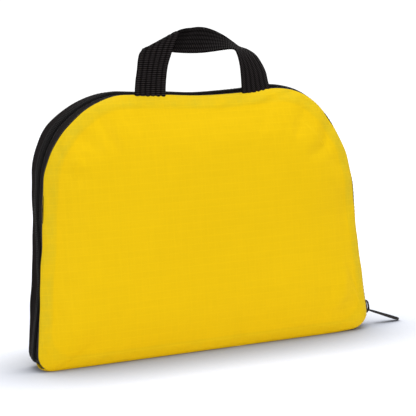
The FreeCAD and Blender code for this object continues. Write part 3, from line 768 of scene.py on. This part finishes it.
def inflate(piece, insets):
    """Runs the cloth: held at the seam, blown outward, with extra length close to the seam."""
    held = piece.vertex_groups.new(name="held")
    loose = piece.vertex_groups.new(name="loose")
    for index, inset in enumerate(insets):
        held.add([index], float(1 - smooth(0, 1.0 * MM, inset)), "REPLACE")
        loose.add([index], float(1 - smooth(6 * MM, 32 * MM, inset)), "REPLACE")
    modifier = piece.modifiers.new("Cloth", "CLOTH")
    for key, value in CLOTH_SETTINGS.items():
        setattr(modifier.settings, key, value)
    modifier.settings.effector_weights.gravity = 0
    modifier.collision_settings.use_collision = False
    modifier.collision_settings.use_self_collision = False
    scene = bpy.context.scene
    for number in range(1, CLOTH_FRAMES + 1):
        scene.frame_set(number)
    bake(piece)
    scene.frame_set(1)


PANEL_CENTRE = 0.095
FARTHEST_MOVE = 2.8 * MM


def settle(piece, start, insets, side, seed):
    """Keeps the cloth near its dome and adds what the sewing does close to the seam."""
    now = np.zeros(start.size)
    piece.data.vertices.foreach_get("co", now)
    moved = now.reshape(-1, 3) - start
    away = np.linalg.norm(moved, axis=1)[:, None]
    now = start + unit(moved) * FARTHEST_MOVE * np.tanh(away / FARTHEST_MOVE)
    now[:, 1] += side * np.array([gathers(x, z, inset, seed) for (x, _, z), inset in zip(start, insets)])
    if side > 0:
        inward = np.array([0.0, 0.0, PANEL_CENTRE]) - now
        inward[:, 1] = 0
        now += unit(inward) * (0.8 * MM * (1 - smooth(0, 3 * MM, insets)))[:, None]
    piece.data.vertices.foreach_set("co", drape(now).astype(np.float32).ravel())
    piece.data.update()


def gathers(x, z, inset, seed):
    """The short wrinkles that stand off a sewn seam, and the ridge of the edges turned in."""
    turn = math.atan2(z - PANEL_CENTRE, x)
    run = turn * math.hypot(x, z - PANEL_CENTRE)
    patch = smooth(-0.35, 0.45, grain((turn * 0.13, 0, 0), 0.021, seed + 7))
    fold = grain((run, inset * 0.22, 0), 0.0062, seed + 5)
    fold += 0.7 * grain((run, inset * 0.3, 0), 0.012, seed + 6)
    near = smooth(0, 2.5 * MM, inset) * math.exp(-inset / (8 * MM))
    far = smooth(2 * MM, 8 * MM, inset) * math.exp(-inset / (17 * MM))
    height = (0.35 + 0.65 * patch) * (1.25 * near + 0.55 * patch * far) * MM * fold
    return height + 0.55 * MM * (1 - smooth(7.5 * MM, 9.5 * MM, inset)) * smooth(0, 2 * MM, inset)


cloth_panel("front", -1, FRONT_BULGE, 3)
cloth_panel("back", 1, BACK_BULGE, 11)


# ---------------------------------------------------------------- zipper band

TAPE_EDGE = 13.75 * MM


def zipper_side(word, side):
    """One side's tape, with the rows of stitches that hold it to its panel and the coil to it."""
    body = f"pouch_{word}"
    section = strip_section(side * TAPE_EDGE, side * 0.5 * MM, -0.8 * MM, 0.0)
    tape = band(f"zipper_tape_{word}_weave", RIGHT_END, LEFT_END, section, 2.2 * MM, TAPE_BLACK)
    placed(tape, body, "zipper_tape", f"zipper_tape_{word}")
    seam = stitch_row(side * 12.65 * MM, 3.0 * MM, 2.5 * MM, 0.17 * MM)
    piece = new_piece(f"tape_stitches_{word}", *seam, BLACK_THREAD)
    placed(piece, body, "thread_black", f"tape_stitching_{word}")
    row = stitch_row(side * 3.62 * MM, 2.7 * MM, 2.3 * MM, 0.13 * MM)
    placed(new_piece(f"coil_stitches_{word}", *row, BLACK_THREAD), body, "thread_black")


def stitch_row(y, pitch, length, radius):
    """Lockstitches in a row along the zipper, each a short arched thread."""
    shares = np.array((-0.5, -0.42, -0.22, 0.0, 0.22, 0.42, 0.5))
    lifts = radius * (1.15 - 2.2 * np.abs(2 * shares) ** 6)
    count = int((LEFT_END - RIGHT_END) / pitch)
    places = []
    for k in range(count):
        middle = RIGHT_END + (k + 0.5) * pitch
        places += [(middle + share * length, y, lift) for share, lift in zip(shares, lifts)]
    rows = on_band(places).reshape(count, len(shares), 3)
    return merge([tube(row, [(0, 1, 0)] * len(row), radius) for row in rows])


COIL_PITCH = 1.35 * MM
COIL_WIRE = 0.31 * MM
# One loop: place along in pitches, across and out in mm.
COIL_LOOP = (
    (0, 2.9, 0.42), (0, 1.5, 0.40), (0, 0.2, 0.48), (0, -0.28, 0.80),
    (0, -0.45, 1.25), (0, -0.28, 1.70), (0, 0.2, 2.02), (0, 1.5, 2.10),
    (0, 2.7, 2.05), (0.3, 3.08, 1.70), (0.5, 3.10, 1.25), (0.7, 3.08, 0.80),
)


def zipper_coil(word, side, foot):
    """One nylon coil from a height up, whose heads lock between the other side's all the way to
    the slider."""
    start = OUTLINE.reaches(foot) + (0.5 * COIL_PITCH if side > 0 else 0.0)
    locked = OUTLINE.reaches(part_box("slider_body")[1].z)
    places, references = [], []
    for k in range(int((LEFT_END - 5 * MM - start) / COIL_PITCH)):
        s = start + k * COIL_PITCH
        apart = 0.0 if s > locked else 0.75
        angle = OUTLINE.at(s)[2]
        for along, y, lift in COIL_LOOP:
            y = max(y, apart) if y < 1 else y
            places.append((s + along * COIL_PITCH, side * y * MM, lift * MM))
            references.append((-math.sin(angle), 0, math.cos(angle)))
    coil = tube(on_band(places), references, COIL_WIRE)
    piece = new_piece(f"zipper_coil_{word}_loops", *coil, COIL_NYLON)
    placed(piece, f"pouch_{word}", "zipper_coil", f"zipper_coil_{word}")


def seam_binding(word, side):
    """Folded tape over the raw edges of a seam, inside the pouch."""
    edge = side * 13.6 * MM
    section = strip_section(edge, edge - side * 1.2 * MM, -8.1 * MM, -1.1 * MM, 4)
    name = f"seam_binding_{word}"
    piece = band(f"{name}_tape", 0.0, OUTLINE.length, section, 2.5 * MM, BINDING_BLACK, True)
    placed(piece, f"pouch_{word}", "binding_black", name)


def base_strip():
    """The cloth strip under the pouch, turned up round both base corners."""
    start = LEFT_END - OUTLINE.length + 0.3 * MM
    section = strip_section(-TAPE_EDGE, TAPE_EDGE, -0.9 * MM, 0.0, 12)
    piece = band("base_gusset_cloth", start, OUTLINE.reaches(GUSSET_END), section, 2.5 * MM, YELLOW_BASE)
    placed(piece, "pouch_back", "ripstop_yellow", "base_gusset")


def end_bartacks():
    """A bar of thread to and fro across each end of the zipper, on the base strip."""
    low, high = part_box("zipper_end_bartacks")
    parts = []
    for right in (True, False):
        bottom, top = OUTLINE.reaches(low.z, right), OUTLINE.reaches(high.z, right)
        places = [
            (bottom if k % 2 else top, y, 0.17 * MM)
            for k, y in enumerate(np.linspace(low.y, high.y, 44))
        ]
        parts.append(tube(on_band(places), [(0.3, 0.1, 1)] * len(places), 0.15 * MM, 5))
    piece = new_piece("zipper_end_tacks", *merge(parts), BLACK_THREAD)
    placed(piece, "pouch_back", "thread_black", "zipper_end_bartacks")


for word, side, coil_foot in (("front", -1, 22.0 * MM), ("back", 1, 10.5 * MM)):
    zipper_side(word, side)
    zipper_coil(word, side, coil_foot)
    seam_binding(word, side)
base_strip()
end_bartacks()


# ---------------------------------------------------------------- webbing


def curve_through(rows, step):
    """Rows spaced evenly along a smooth curve through the given ones."""
    p = np.array(rows, float)
    padded = np.vstack([2 * p[0] - p[1], p, 2 * p[-1] - p[-2]])
    dense = []
    for a, b, c, d in zip(padded, padded[1:], padded[2:], padded[3:]):
        for t in np.linspace(0, 1, 24, endpoint=False):
            bend = (2 * a - 5 * b + 4 * c - d) * t**2 + (3 * b - a - 3 * c + d) * t**3
            dense.append(0.5 * (2 * b + (c - a) * t + bend))
    dense = np.array(dense + [p[-1]])
    run = run_along((dense[:, :3] + dense[:, 3:]) / 2)
    wanted = np.linspace(0, run[-1], max(2, round(run[-1] / step) + 1))
    return np.array([[np.interp(w, run, dense[:, c]) for c in range(6)] for w in wanted])


def webbing(rows, thickness, across=36, relief=1.0, flat=0.0):
    """A ribbed strap between two edges. Each row holds the edges' two points, six numbers. flat is
    how far each row's ribs are flattened, which leaves its picks."""
    rows = np.array(rows, float)
    flat = np.broadcast_to(flat, len(rows))[:, None]
    first, second = rows[:, :3], rows[:, 3:]
    share = np.linspace(0, 1, across + 1)
    grid = first[:, None, :] * (1 - share)[None, :, None] + second[:, None, :] * share[None, :, None]
    normal = unit(np.cross(np.gradient(grid, axis=0), np.gradient(grid, axis=1)))
    run = run_along(first)[:, None] * (1 - share) + run_along(second)[:, None] * share
    ridge = np.abs(np.sin(math.pi * RIBS * share))[None, :] ** 0.7
    picks = np.cos(2 * math.pi * run / PICK)
    ribs = 0.36 * MM * (ridge - 0.75) * (1 - 0.85 * flat)
    height = thickness / 2 + relief * (ribs + 0.16 * MM * picks * np.maximum(ridge, flat))
    edge = np.minimum(1.0, np.minimum(share, 1 - share) / 0.035) ** 0.5
    lift = normal * (height * (0.35 + 0.65 * edge))[:, :, None]
    sections = [list(u) + list(l[::-1]) for u, l in zip(grid + lift, grid - lift)]
    verts, faces = loft(sections)
    weave = []
    for places in run:
        line = list(zip(places, share * WEBBING_WIDTH))
        weave += line + line[::-1]
    return verts, faces, weave


# The handle's rows: each edge's place in millimetres across, in depth and above the seam.
HANDLE_FRONT = -14.3
HANDLE_BACK = HANDLE_FRONT + 2.6
LEFT_LEG = (
    ((-51.5, 0.0, -7.0), (-26.5, 0.0, -7.5)),
    ((-51.0, 0.0, 0.0), (-26.2, 0.0, -0.5)),
    ((-50.2, -0.4, 7.0), (-25.2, -0.3, 8.5)),
    ((-48.8, -0.8, 14.5), (-23.4, -0.6, 17.5)),
    ((-47.6, -1.0, 22.0), (-19.6, -0.8, 27.5)),
    ((-46.2, -0.9, 26.8), (-15.8, -0.6, 35.8)),
    ((-43.8, -0.6, 29.8), (-12.6, -0.4, 41.6)),
)
GRIP = (
    ((-41.6, -0.4, 30.2), (-12.6, -0.2, 41.6)),
    ((-33.0, -0.2, 29.2), (-9.6, 1.0, 43.8)),
    ((-24.0, 0.0, 28.0), (-4.8, 3.4, 44.8)),
    ((-14.0, 0.0, 26.6), (0.8, 7.1, 45.3)),
    ((-3.5, -0.2, 25.8), (8.6, 10.0, 45.8)),
    ((6.0, -0.4, 25.7), (16.9, 13.6, 44.9)),
    ((15.0, -0.7, 26.3), (25.7, 17.6, 42.4)),
    ((23.5, -1.0, 27.2), (34.0, 20.4, 38.6)),
    ((29.8, -1.3, 27.7), (41.5, 21.6, 33.6)),
    ((33.4, -1.6, 26.6), (46.8, 20.8, 29.4)),
    ((34.9, -1.9, 22.6), (52.6, 18.1, 26.9)),
    ((35.8, -2.2, 17.4), (57.3, 13.8, 22.6)),
    ((36.3, -2.4, 12.0), (60.1, 9.8, 16.3)),
    ((36.5, -2.5, 6.0), (61.5, 5.2, 8.7)),
    ((36.5, -2.6, 0.0), (61.3, 1.4, 1.0)),
    ((36.5, -2.6, -7.0), (61.5, -2.6, -7.0)),
)


def handle_curve(rows, depth):
    real = [[v * MM for x, y, z in row for v in (x, depth + y, HEIGHT / MM + z)] for row in rows]
    return curve_through(real, 0.45 * MM)


def handle_rows():
    """The loop: up the left leg, back over a slanting fold, along the grip and down the right."""
    leg, grip = handle_curve(LEFT_LEG, HANDLE_FRONT), handle_curve(GRIP, HANDLE_BACK)
    crease = (leg[-1] + grip[0]) / 2
    axis = crease[3:] - crease[:3]
    ahead = np.array([-axis[2], 0.0, axis[0]]) / math.hypot(axis[0], axis[2])
    radius = (grip[0] - leg[-1])[1] / 2
    fold = []
    for turn in np.linspace(0, math.pi, 9)[1:-1]:
        here = leg[-1] + (grip[0] - leg[-1]) * turn / math.pi
        here[[1, 4]] = crease[[1, 4]] - radius * math.cos(turn)
        tuck, bow = axis * math.sin(turn), ahead * radius * math.sin(turn)
        here[:3] += 0.06 * tuck - 0.4 * bow
        here[3:] += bow - 0.03 * tuck
        fold.append(here)
    return np.vstack([leg, fold, grip])


def carry_handle():
    rows = handle_rows()
    middle = (rows[:, 0] + rows[:, 3]) / 2
    back = smooth(HANDLE_FRONT * MM, (HANDLE_FRONT + 1) * MM, rows[:, 1])
    flat = back * (1 - smooth(0.030, 0.042, middle))
    verts, faces, weave = webbing(rows, 1.5 * MM, flat=flat)
    piece = new_piece("handle_webbing_loop", verts, faces, WEBBING, weave)
    mark_points(piece.data, "flat", np.repeat(flat, len(verts) // len(rows)))
    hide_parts("handle_webbing")
    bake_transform(piece)


STRAP_HALF = 12.4 * MM
PATCH_HALF = 14.3 * MM
TACK_HALF = 11.5 * MM
TACK_TURNS = 75


def anchor_ends():
    """The webbing's two ends inside the pouch, their cloth patches and the bars of thread."""
    low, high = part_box("handle_anchor_ends")
    patch_low, patch_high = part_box("handle_backing_patches")
    tack_low, tack_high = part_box("handle_bartacks")
    y = (low.y + high.y) / 2
    ends, weave, patches, tacks = [], [], [], []
    for x in (low.x + WEBBING_WIDTH / 2, high.x - WEBBING_WIDTH / 2):
        heights = np.arange(low.z, high.z, 0.5 * MM)
        rows = [[x - STRAP_HALF, y, z, x + STRAP_HALF, y, z] for z in heights]
        verts, faces, places = webbing(rows, high.y - low.y - 0.25 * MM)
        ends.append((verts, faces))
        weave += places
        patches.append(cloth_slab((x - PATCH_HALF, patch_low.y, patch_low.z),
                                  (x + PATCH_HALF, patch_high.y, patch_high.z)))
        bar = [
            (across, tack_high.y, tack_low.z if k % 2 else tack_high.z)
            for k, across in enumerate(np.linspace(x - TACK_HALF, x + TACK_HALF, TACK_TURNS))
        ]
        tacks.append(tube(bar, [(0, 1, 0)] * len(bar), 0.08 * MM, 5))
    for name, parts, material, slot, node in (
        ("handle_anchor_webbing", ends, WEBBING, "webbing_black", "handle_anchor_ends"),
        ("handle_patch_cloth", patches, YELLOW, "ripstop_yellow", "handle_backing_patches"),
        ("handle_tack_thread", tacks, BLACK_THREAD, "thread_black", "handle_bartacks"),
    ):
        verts, faces = merge(parts)
        piece = new_piece(name, drape(verts), faces, material, weave if parts is ends else None)
        placed(piece, "pouch_front", slot, node)


def cloth_slab(low, high, columns=12, rows=9):
    """A thin piece of doubled cloth with slightly uneven faces and rounded edges."""
    middle, half = (low[1] + high[1]) / 2, (high[1] - low[1]) / 2
    sections = []
    for r, z in enumerate(np.linspace(low[2], high[2], rows + 1)):
        half_now = half * (0.4 if r in (0, rows) else 0.92)
        front, back = [], []
        for c, x in enumerate(np.linspace(low[0], high[0], columns + 1)):
            drift = 0.08 * half * grain((x, 0, z), 5 * MM, 4)
            thin = 0.4 if c in (0, columns) else 1.0
            front.append((x, middle - half_now * thin + drift, z))
            back.append((x, middle + half_now * thin + drift, z))
        sections.append(front + back[::-1])
    return loft(sections)


carry_handle()
anchor_ends()


# ---------------------------------------------------------------- slider and pull

# In mm: the slider's height and place out of the band, and its pin's place on it.
SLIDER_HEIGHT = 15.2
SLIDER_OUT = 2.2
PIN_DROP = 3.45
PIN_OUT = 5.85
PULL_DROOP = math.radians(21.6)
WING = ((4.3, 5.3), (4.55, 0.5), (4.8, -2.1), (4.8, -4.3), (3.8, -5.3))
CROWN = (
    (3.72, -4.7), (5.2, -4.75), (6.4, -4.7), (7.05, -4.1), (7.25, -3.0), (7.3, -1.0), (7.25, 1.4),
    (6.9, 3.0), (6.1, 4.2), (5.0, 4.7), (3.72, 4.75),
)
CROWN_SECTION = (
    (-1.1, -0.3), (-0.85, -0.5), (0.85, -0.5), (1.1, -0.3),
    (1.1, 0.3), (0.85, 0.5), (-0.85, 0.5), (-1.1, 0.3),
)


def in_axes(origin, tilt, points):
    """From axes tilted up from the frame's x, in mm, to the frame's own, in metres."""
    out = Vector((math.cos(tilt), 0, math.sin(tilt)))
    up = Vector((-math.sin(tilt), 0, math.cos(tilt)))
    return [origin + out * (n * MM) + Vector((0, y * MM, 0)) + up * (z * MM) for n, y, z in points]


def in_slider(points):
    """From the slider's own axes (out of the band, across it, up the chain) to the frame's."""
    foot = Vector((HALF_BASE - SLIDER_HEIGHT * MM * math.tan(LEAN), 0, SLIDER_HEIGHT * MM))
    return in_axes(foot, LEAN, [(n + SLIDER_OUT, y, z) for n, y, z in points])


def in_pull(points):
    """From the pull's own axes (from its pin to its tip, across, up) to the frame's."""
    return in_axes(in_slider([(PIN_OUT, 0, -PIN_DROP)])[0], -PULL_DROOP, points)


def prism(outline, low, high):
    """A plate between two levels above the band, from its outline (across, along) in mm."""
    return loft([in_slider([(level, y, z) for y, z in outline]) for level in (low, high)])


def rounded(points, radius, steps=4):
    """An outline with its corners rounded."""
    result = []
    count = len(points)
    for k in range(count):
        before, here, after = (np.array(points[(k + d) % count], float) for d in (-1, 0, 1))
        to_before, to_after = before - here, after - here
        cut = min(radius, np.linalg.norm(to_before) / 2.2, np.linalg.norm(to_after) / 2.2)
        start, end = here + unit(to_before) * cut, here + unit(to_after) * cut
        for t in np.linspace(0, 1, steps):
            result.append(tuple((1 - t) ** 2 * start + 2 * t * (1 - t) * here + t**2 * end))
    return result


def cast_part(name, parts, voxel, smoothing):
    """Closed parts fused into one and softened, like a small die casting."""
    piece = new_piece(name, *merge(parts), DARK_METAL)
    with_modifiers(piece, ("REMESH", {"mode": "VOXEL", "voxel_size": voxel, "use_smooth_shade": True}))
    with_modifiers(piece, ("SMOOTH", {"factor": 0.5, "iterations": smoothing}))
    piece.data.shade_smooth()
    return piece


def slider():
    """Two wing plates, the post between them and the flanges that hold the coils in."""
    outline = rounded(list(WING) + [(-y, z) for y, z in WING[::-1]], 0.8)
    parts = [prism(outline, -2.1, -1.0), prism(outline, 2.65, 3.75)]
    post = rounded([(-0.4, -4.2), (0.4, -4.2), (0.4, -1.4), (-0.4, -1.4)], 0.3)
    parts.append(prism(post, -1.5, 3.2))
    for side in (-1, 1):
        flange = [(side * 3.75, -3.6), (side * 4.5, -3.6), (side * 4.3, 5.0), (side * 3.75, 5.0)]
        parts.append(prism(flange[::side], 0.65, 3.2))
    piece = cast_part("slider_body_cast", parts, 0.16 * MM, 4)
    placed(piece, "zip_slider", "slider_metal", "slider_body")


def slider_bridge():
    """The arched crown: a flat bar bent over the middle of the slider."""
    path = np.array(CROWN)
    sections = [
        in_slider([(n - dz * out, across, z + dn * out) for across, out in CROWN_SECTION])
        for (n, z), (dn, dz) in zip(path, unit(np.gradient(path, axis=0)))
    ]
    piece = new_piece("slider_bridge_crown", *loft(sections), DARK_METAL)
    with_modifiers(piece, ("SUBSURF", {"levels": 2, "render_levels": 2}))
    placed(piece, "zip_slider", "slider_metal", "slider_bridge")


def lock_spring():
    """The leaf spring under the crown: its lower end is held and its upper end curls up."""
    sections = []
    for z in np.linspace(-3.0, 3.0, 25):
        middle = 4.15 + 0.10 * math.cos(z * 1.1) + 0.12 * smooth(1.8, 3.0, z)
        half = 0.8 - 0.25 * smooth(1.2, 3.0, abs(z))
        one_side = [(middle - 0.15, half), (middle, half + 0.06), (middle + 0.15, half)]
        corners = one_side + [(n, -y) for n, y in one_side[::-1]]
        sections.append(in_slider([(n, y, z) for n, y in corners]))
    piece = new_piece("slider_lock_spring_leaf", *loft(sections), SPRING_STEEL)
    placed(piece, "zip_slider", "spring_steel", "slider_lock_spring")


def bulged(value, power):
    """Makes a sine or cosine squarer, for a round that is nearer a rectangle."""
    return math.copysign(abs(value) ** power, value)


PLATE_START = 8.8
PULL_LENGTH = 31.5
GROOVE_PITCH = 3.2
CHEEK_OUT = 2.35
CHEEK_HALF = 0.72
PIN_HALF = 2.9
PIN_RADIUS = 0.68 * MM


def pull_plate():
    """The pull's plate, which thickens to a round tip and has grooves across both faces."""
    sections = []
    for x in np.linspace(PLATE_START, PULL_LENGTH, 56):
        share = (x - PLATE_START) / (PULL_LENGTH - PLATE_START)
        tip = math.sqrt(max(0.0, 1 - max(0.0, (share - 0.80) / 0.20) ** 2.2))
        half_wide = (2.75 + 0.75 * smooth(0.0, 0.35, share)) * max(tip, 0.06)
        half_thick = (1.05 + 0.30 * smooth(0.05, 0.62, share)) * (0.35 + 0.65 * tip)
        depth = 0.30 * (0.55 + 0.45 * math.cos(2 * math.pi * x / GROOVE_PITCH))
        grooved = smooth(0.1, 0.2, share) * (1 - smooth(0.78, 0.88, share))
        section = []
        for angle in np.linspace(0, 2 * math.pi, 36, endpoint=False):
            y = half_wide * bulged(math.cos(angle), 0.42)
            s = math.sin(angle)
            z = half_thick * bulged(s, 0.42)
            if abs(s) > 0.5:
                inside = hill(0, 0.78, abs(y) / half_wide) * grooved
                z -= math.copysign(depth * smooth(0.15, 0.35, inside) * half_thick, s)
            section.append((x, y, z))
        sections.append(in_pull(section))
    return loft(sections)


def pull_cheek(side):
    """One of the two slim arms between the pull's pin and its plate."""
    sections = []
    for x in np.linspace(-0.55, 10.5, 14):
        y = side * (CHEEK_OUT + 0.02 * x)
        half = (0.72 + 0.33 * smooth(1, 9, x)) * math.sqrt(max(0.1, 1 - max(0.0, -x / 0.7) ** 2))
        sections.append(in_pull([
            (x, y + CHEEK_HALF * bulged(math.cos(a), 0.6), half * bulged(math.sin(a), 0.6))
            for a in np.linspace(0, 2 * math.pi, 14, endpoint=False)
        ]))
    return loft(sections)


def pull_tab():
    pin = in_pull([(0, y, 0) for y in np.linspace(-PIN_HALF, PIN_HALF, 8)])
    parts = [pull_plate(), pull_cheek(-1), pull_cheek(1), tube(pin, [(1, 0, 0)] * 8, PIN_RADIUS, 14)]
    piece = cast_part("pull_tab_cast", parts, 0.14 * MM, 3)
    placed(piece, "zip_pull", "slider_metal", "pull_tab")


slider()
slider_bridge()
lock_spring()
pull_tab()


# ---------------------------------------------------------------- folded tote

SHEET = 0.5 * MM
ROUND_TURN = 1.6 * MM
TURN_STEPS = 5
DENT_EDGE = 4 * MM


def pack_half_width(z, inset):
    """Half the width of the folded tote at a height."""
    outline = Outline(inset, CORNER_SPREAD * inset)
    return max(outline.at(outline.reaches(z))[0], 1 * MM)


def bundle(name, body, node, low, high, inset, layers, seed, dents=()):
    """Cloth folded to and fro: one long sheet whose layers show at its sides and ends."""
    rows, columns = 44, 30

    def depth(x, z, share, plump):
        """How deep one layer lies at a place, between the bundle's two faces."""
        front = low.y
        for centre, half, press in dents:
            beside = 1 - smooth(half.x, half.x + DENT_EDGE, abs(x - centre.x))
            above = 1 - smooth(half.z, half.z + DENT_EDGE, abs(z - centre.z))
            front = front + press * beside * above
        middle = (low.y + high.y) / 2
        y = front + (high.y - front) * (0.03 + 0.94 * share)
        fold = grain((x * 0.35, share * 0.02, z), 0.016, seed)
        fold += 0.7 * grain((x, share * 0.03, z * 0.4), 0.012, seed + 1)
        room = (high.y - low.y) * 0.045 * (1.0 - 0.8 * abs(2 * share - 1) ** 4)
        return middle + (y - middle) * plump + room * fold

    sections = []
    for r in range(rows + 1):
        z = low.z + (high.z - low.z) * (0.5 - 0.5 * math.cos(math.pi * r / rows))
        end = min(z - low.z, high.z - z)
        plump = 0.30 + 0.70 * math.sqrt(max(0.0, 1 - (1 - min(1.0, end / (8 * MM))) ** 2))
        half = pack_half_width(z, inset)
        line = []
        for layer in range(layers):
            share = (layer + 0.5) / layers
            way = 1 if layer % 2 == 0 else -1
            uneven = 0.5 + 0.5 * grain((layer * 0.3, 0, z), 0.05, seed)
            reach = half - 2.2 * MM - ROUND_TURN * uneven
            for x in np.linspace(-way * reach, way * reach, columns + 1):
                line.append((x, depth(x, z, share, plump)))
            if layer < layers - 1:
                y_1 = depth(way * reach, z, share, plump)
                y_2 = depth(way * reach, z, share + 1 / layers, plump)
                for k in range(1, TURN_STEPS):
                    angle = math.pi * k / TURN_STEPS
                    y = (y_1 + y_2) / 2 - (y_2 - y_1) / 2 * math.cos(angle)
                    line.append((way * (reach + ROUND_TURN * math.sin(angle)), y))
        line = np.array(line)
        ahead = unit(np.gradient(line, axis=0))
        off = np.stack([-ahead[:, 1], ahead[:, 0]], axis=1) * SHEET / 2
        sections.append([(x, y, z) for x, y in (*(line + off), *(line - off)[::-1])])
    piece = new_piece(name, *loft(sections, capped=False), TOTE_CLOTH)
    placed(piece, body, "tote_cloth", node)


def strap_rows(x, low, high, start, layers, pitch):
    """A strap folded to and fro: its rows run up one layer and down the next."""
    places = []
    turn = pitch / 2
    for layer in range(layers):
        y = start + layer * pitch
        up = layer % 2 == 0
        zs = np.linspace(low + turn, high - turn, 26)
        places += [(y, z) for z in (zs if up else zs[::-1])]
        if layer < layers - 1:
            end, way = (high - turn, 1) if up else (low + turn, -1)
            for angle in np.linspace(0, math.pi, 9)[1:-1]:
                places.append((y + turn - turn * math.cos(angle), end + way * turn * math.sin(angle)))
    return [[x - STRAP_HALF, y, z, x + STRAP_HALF, y, z] for y, z in places]


def folded_tote():
    straps = {word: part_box(f"tote_strap_{word}") for word in ("left", "right")}
    dents = [((low + high) / 2, (high - low) / 2, 6.6 * MM) for low, high in straps.values()]
    low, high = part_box("tote_folded_body")
    bundle("tote_body_bundle", "pouch_back", "tote_folded_body", low, high, 12 * MM, 7, 21, dents)
    for word, body, seed in (("upper", "tote_top", 31), ("lower", "tote_bottom", 41)):
        low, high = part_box(f"tote_{word}_fold")
        low = low + Vector((0, 5.8 * MM, 0))
        bundle(f"tote_{word}_bundle", body, f"tote_{word}_fold", low, high, 14 * MM, 4, seed)
    for word, (low, high) in straps.items():
        rows = strap_rows((low.x + high.x) / 2, low.z, high.z, low.y + 0.6 * MM, 4, 1.55 * MM)
        verts, faces, weave = webbing(rows, 1.1 * MM, 24, 0.6)
        piece = new_piece(f"tote_strap_{word}_webbing", verts, faces, WEBBING, weave)
        placed(piece, "pouch_back", "webbing_black", f"tote_strap_{word}")


folded_tote()


# ---------------------------------------------------------------- stage

TARGET = Vector((0, 0, 0.1002))
YAW, PITCH, ROLL = math.radians(-21.93), math.radians(6.10), math.radians(-3.14)
DISTANCE = 1.029
SENSOR_WIDTH = 36
FOCAL_LENGTH = 113.971
SHIFT = (0.024, 0.030)
# Each area light: name, place, size and power. All look at one point of the pouch.
LIGHTS = (
    ("key", (-0.85, -1.60, 0.56), 0.6, 11),
    ("top", (0.20, -0.12, 1.7), 1.0, 20),
    ("fill", (1.4, -1.0, 0.7), 1.0, 3),
)
LIT_POINT = Vector((0, 0, 0.1))
SKY_LIGHT, SKY_SEEN = 0.50, 1.1
FLOOR_REACH = 6.0
# The floor's faint glow to every ray but the camera's: painted light on the pouch's underside.
FLOOR_PAINTED_GLOW = 0.05


def camera():
    back = Vector((math.sin(YAW) * math.cos(PITCH), -math.cos(YAW) * math.cos(PITCH), math.sin(PITCH)))
    right = Vector((math.cos(YAW), math.sin(YAW), 0))
    up = back.cross(right)
    across = right * math.cos(ROLL) + up * math.sin(ROLL)
    over = up * math.cos(ROLL) - right * math.sin(ROLL)
    data = bpy.data.cameras.new("camera")
    data.sensor_width = SENSOR_WIDTH
    data.lens = FOCAL_LENGTH
    data.shift_x, data.shift_y = SHIFT
    data.clip_start = 0.01
    place = TARGET + back * DISTANCE
    rows = [[across[i], over[i], back[i], place[i]] for i in range(3)]
    view = add_object("camera", data)
    view.matrix_world = Matrix(rows + [[0, 0, 0, 1]])
    bpy.context.scene.camera = view


def area_light(name, place, size, power):
    data = bpy.data.lights.new(name, "AREA")
    data.size = size
    data.energy = power
    light = add_object(name, data)
    light.location = place
    light.rotation_euler = (LIT_POINT - Vector(place)).to_track_quat("-Z", "Y").to_euler()


def pale_floor():
    """A white floor. The camera sees it glowing near white, with a painted contact shadow: its glow
    is dimmed close to whatever stands on it. To other rays it glows faintly, painted light on
    the pouch's underside.
    """
    n = Nodes("floor_pale")
    n.bumps((n.noise(30, 2), 0.02 * MM, 0.05))
    seen = n.make("ShaderNodeLightPath", output="Is Camera Ray")
    x, y, _ = n.axes()
    away = n.maths("SQRT", x**2.0 + y**2.0)
    # Painted contact shadow: ambient occlusion dims the glow the camera sees next to the pouch; far off
    # the glow rises evenly.
    open_sky = n.make("ShaderNodeAmbientOcclusion", {"Distance": 0.08}, "AO", samples=16)
    seen_glow_and_painted_shadow = open_sky**2.4 * 0.80 + n.steps(away, 0.2, 0.6) * 0.35
    material = n.finish(
        # The bluish base that the camera sees offsets the yellow light bounced onto the floor.
        Base_Color=n.mix(seen, (0.86, 0.86, 0.88), (0.213, 0.235, 0.30)),
        Roughness=0.7,
        Specular_IOR_Level=0.1,
        Emission_Color=(1.0, 1.0, 1.0),
        Emission_Strength=seen * (seen_glow_and_painted_shadow - FLOOR_PAINTED_GLOW) + FLOOR_PAINTED_GLOW,
    )
    corners = [(x * FLOOR_REACH, y * FLOOR_REACH, 0) for x, y in ((-1, -1), (1, -1), (1, 1), (-1, 1))]
    mesh = bpy.data.meshes.new("floor")
    mesh.from_pydata(corners, [], [(0, 1, 2, 3)])
    mesh.materials.append(material)
    floor = add_object("floor", mesh)
    floor.location.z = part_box("base_gusset")[0].z - 0.1 * MM


def pale_world():
    """An even white surround, which the camera sees brighter than it lights."""
    world = bpy.data.worlds.new("surround")
    world.use_nodes = True
    tree = world.node_tree
    background = tree.nodes["Background"]
    background.inputs["Color"].default_value = (1, 1, 1, 1)
    ray = tree.nodes.new("ShaderNodeLightPath")
    strength = tree.nodes.new("ShaderNodeMapRange")
    strength.inputs["To Min"].default_value = SKY_LIGHT
    strength.inputs["To Max"].default_value = SKY_SEEN
    tree.links.new(ray.outputs["Is Camera Ray"], strength.inputs[0])
    tree.links.new(strength.outputs[0], background.inputs["Strength"])
    bpy.context.scene.world = world


camera()
pale_world()
for light in LIGHTS:
    area_light(*light)
pale_floor()
bpy.context.scene.view_settings.view_transform = "Standard"
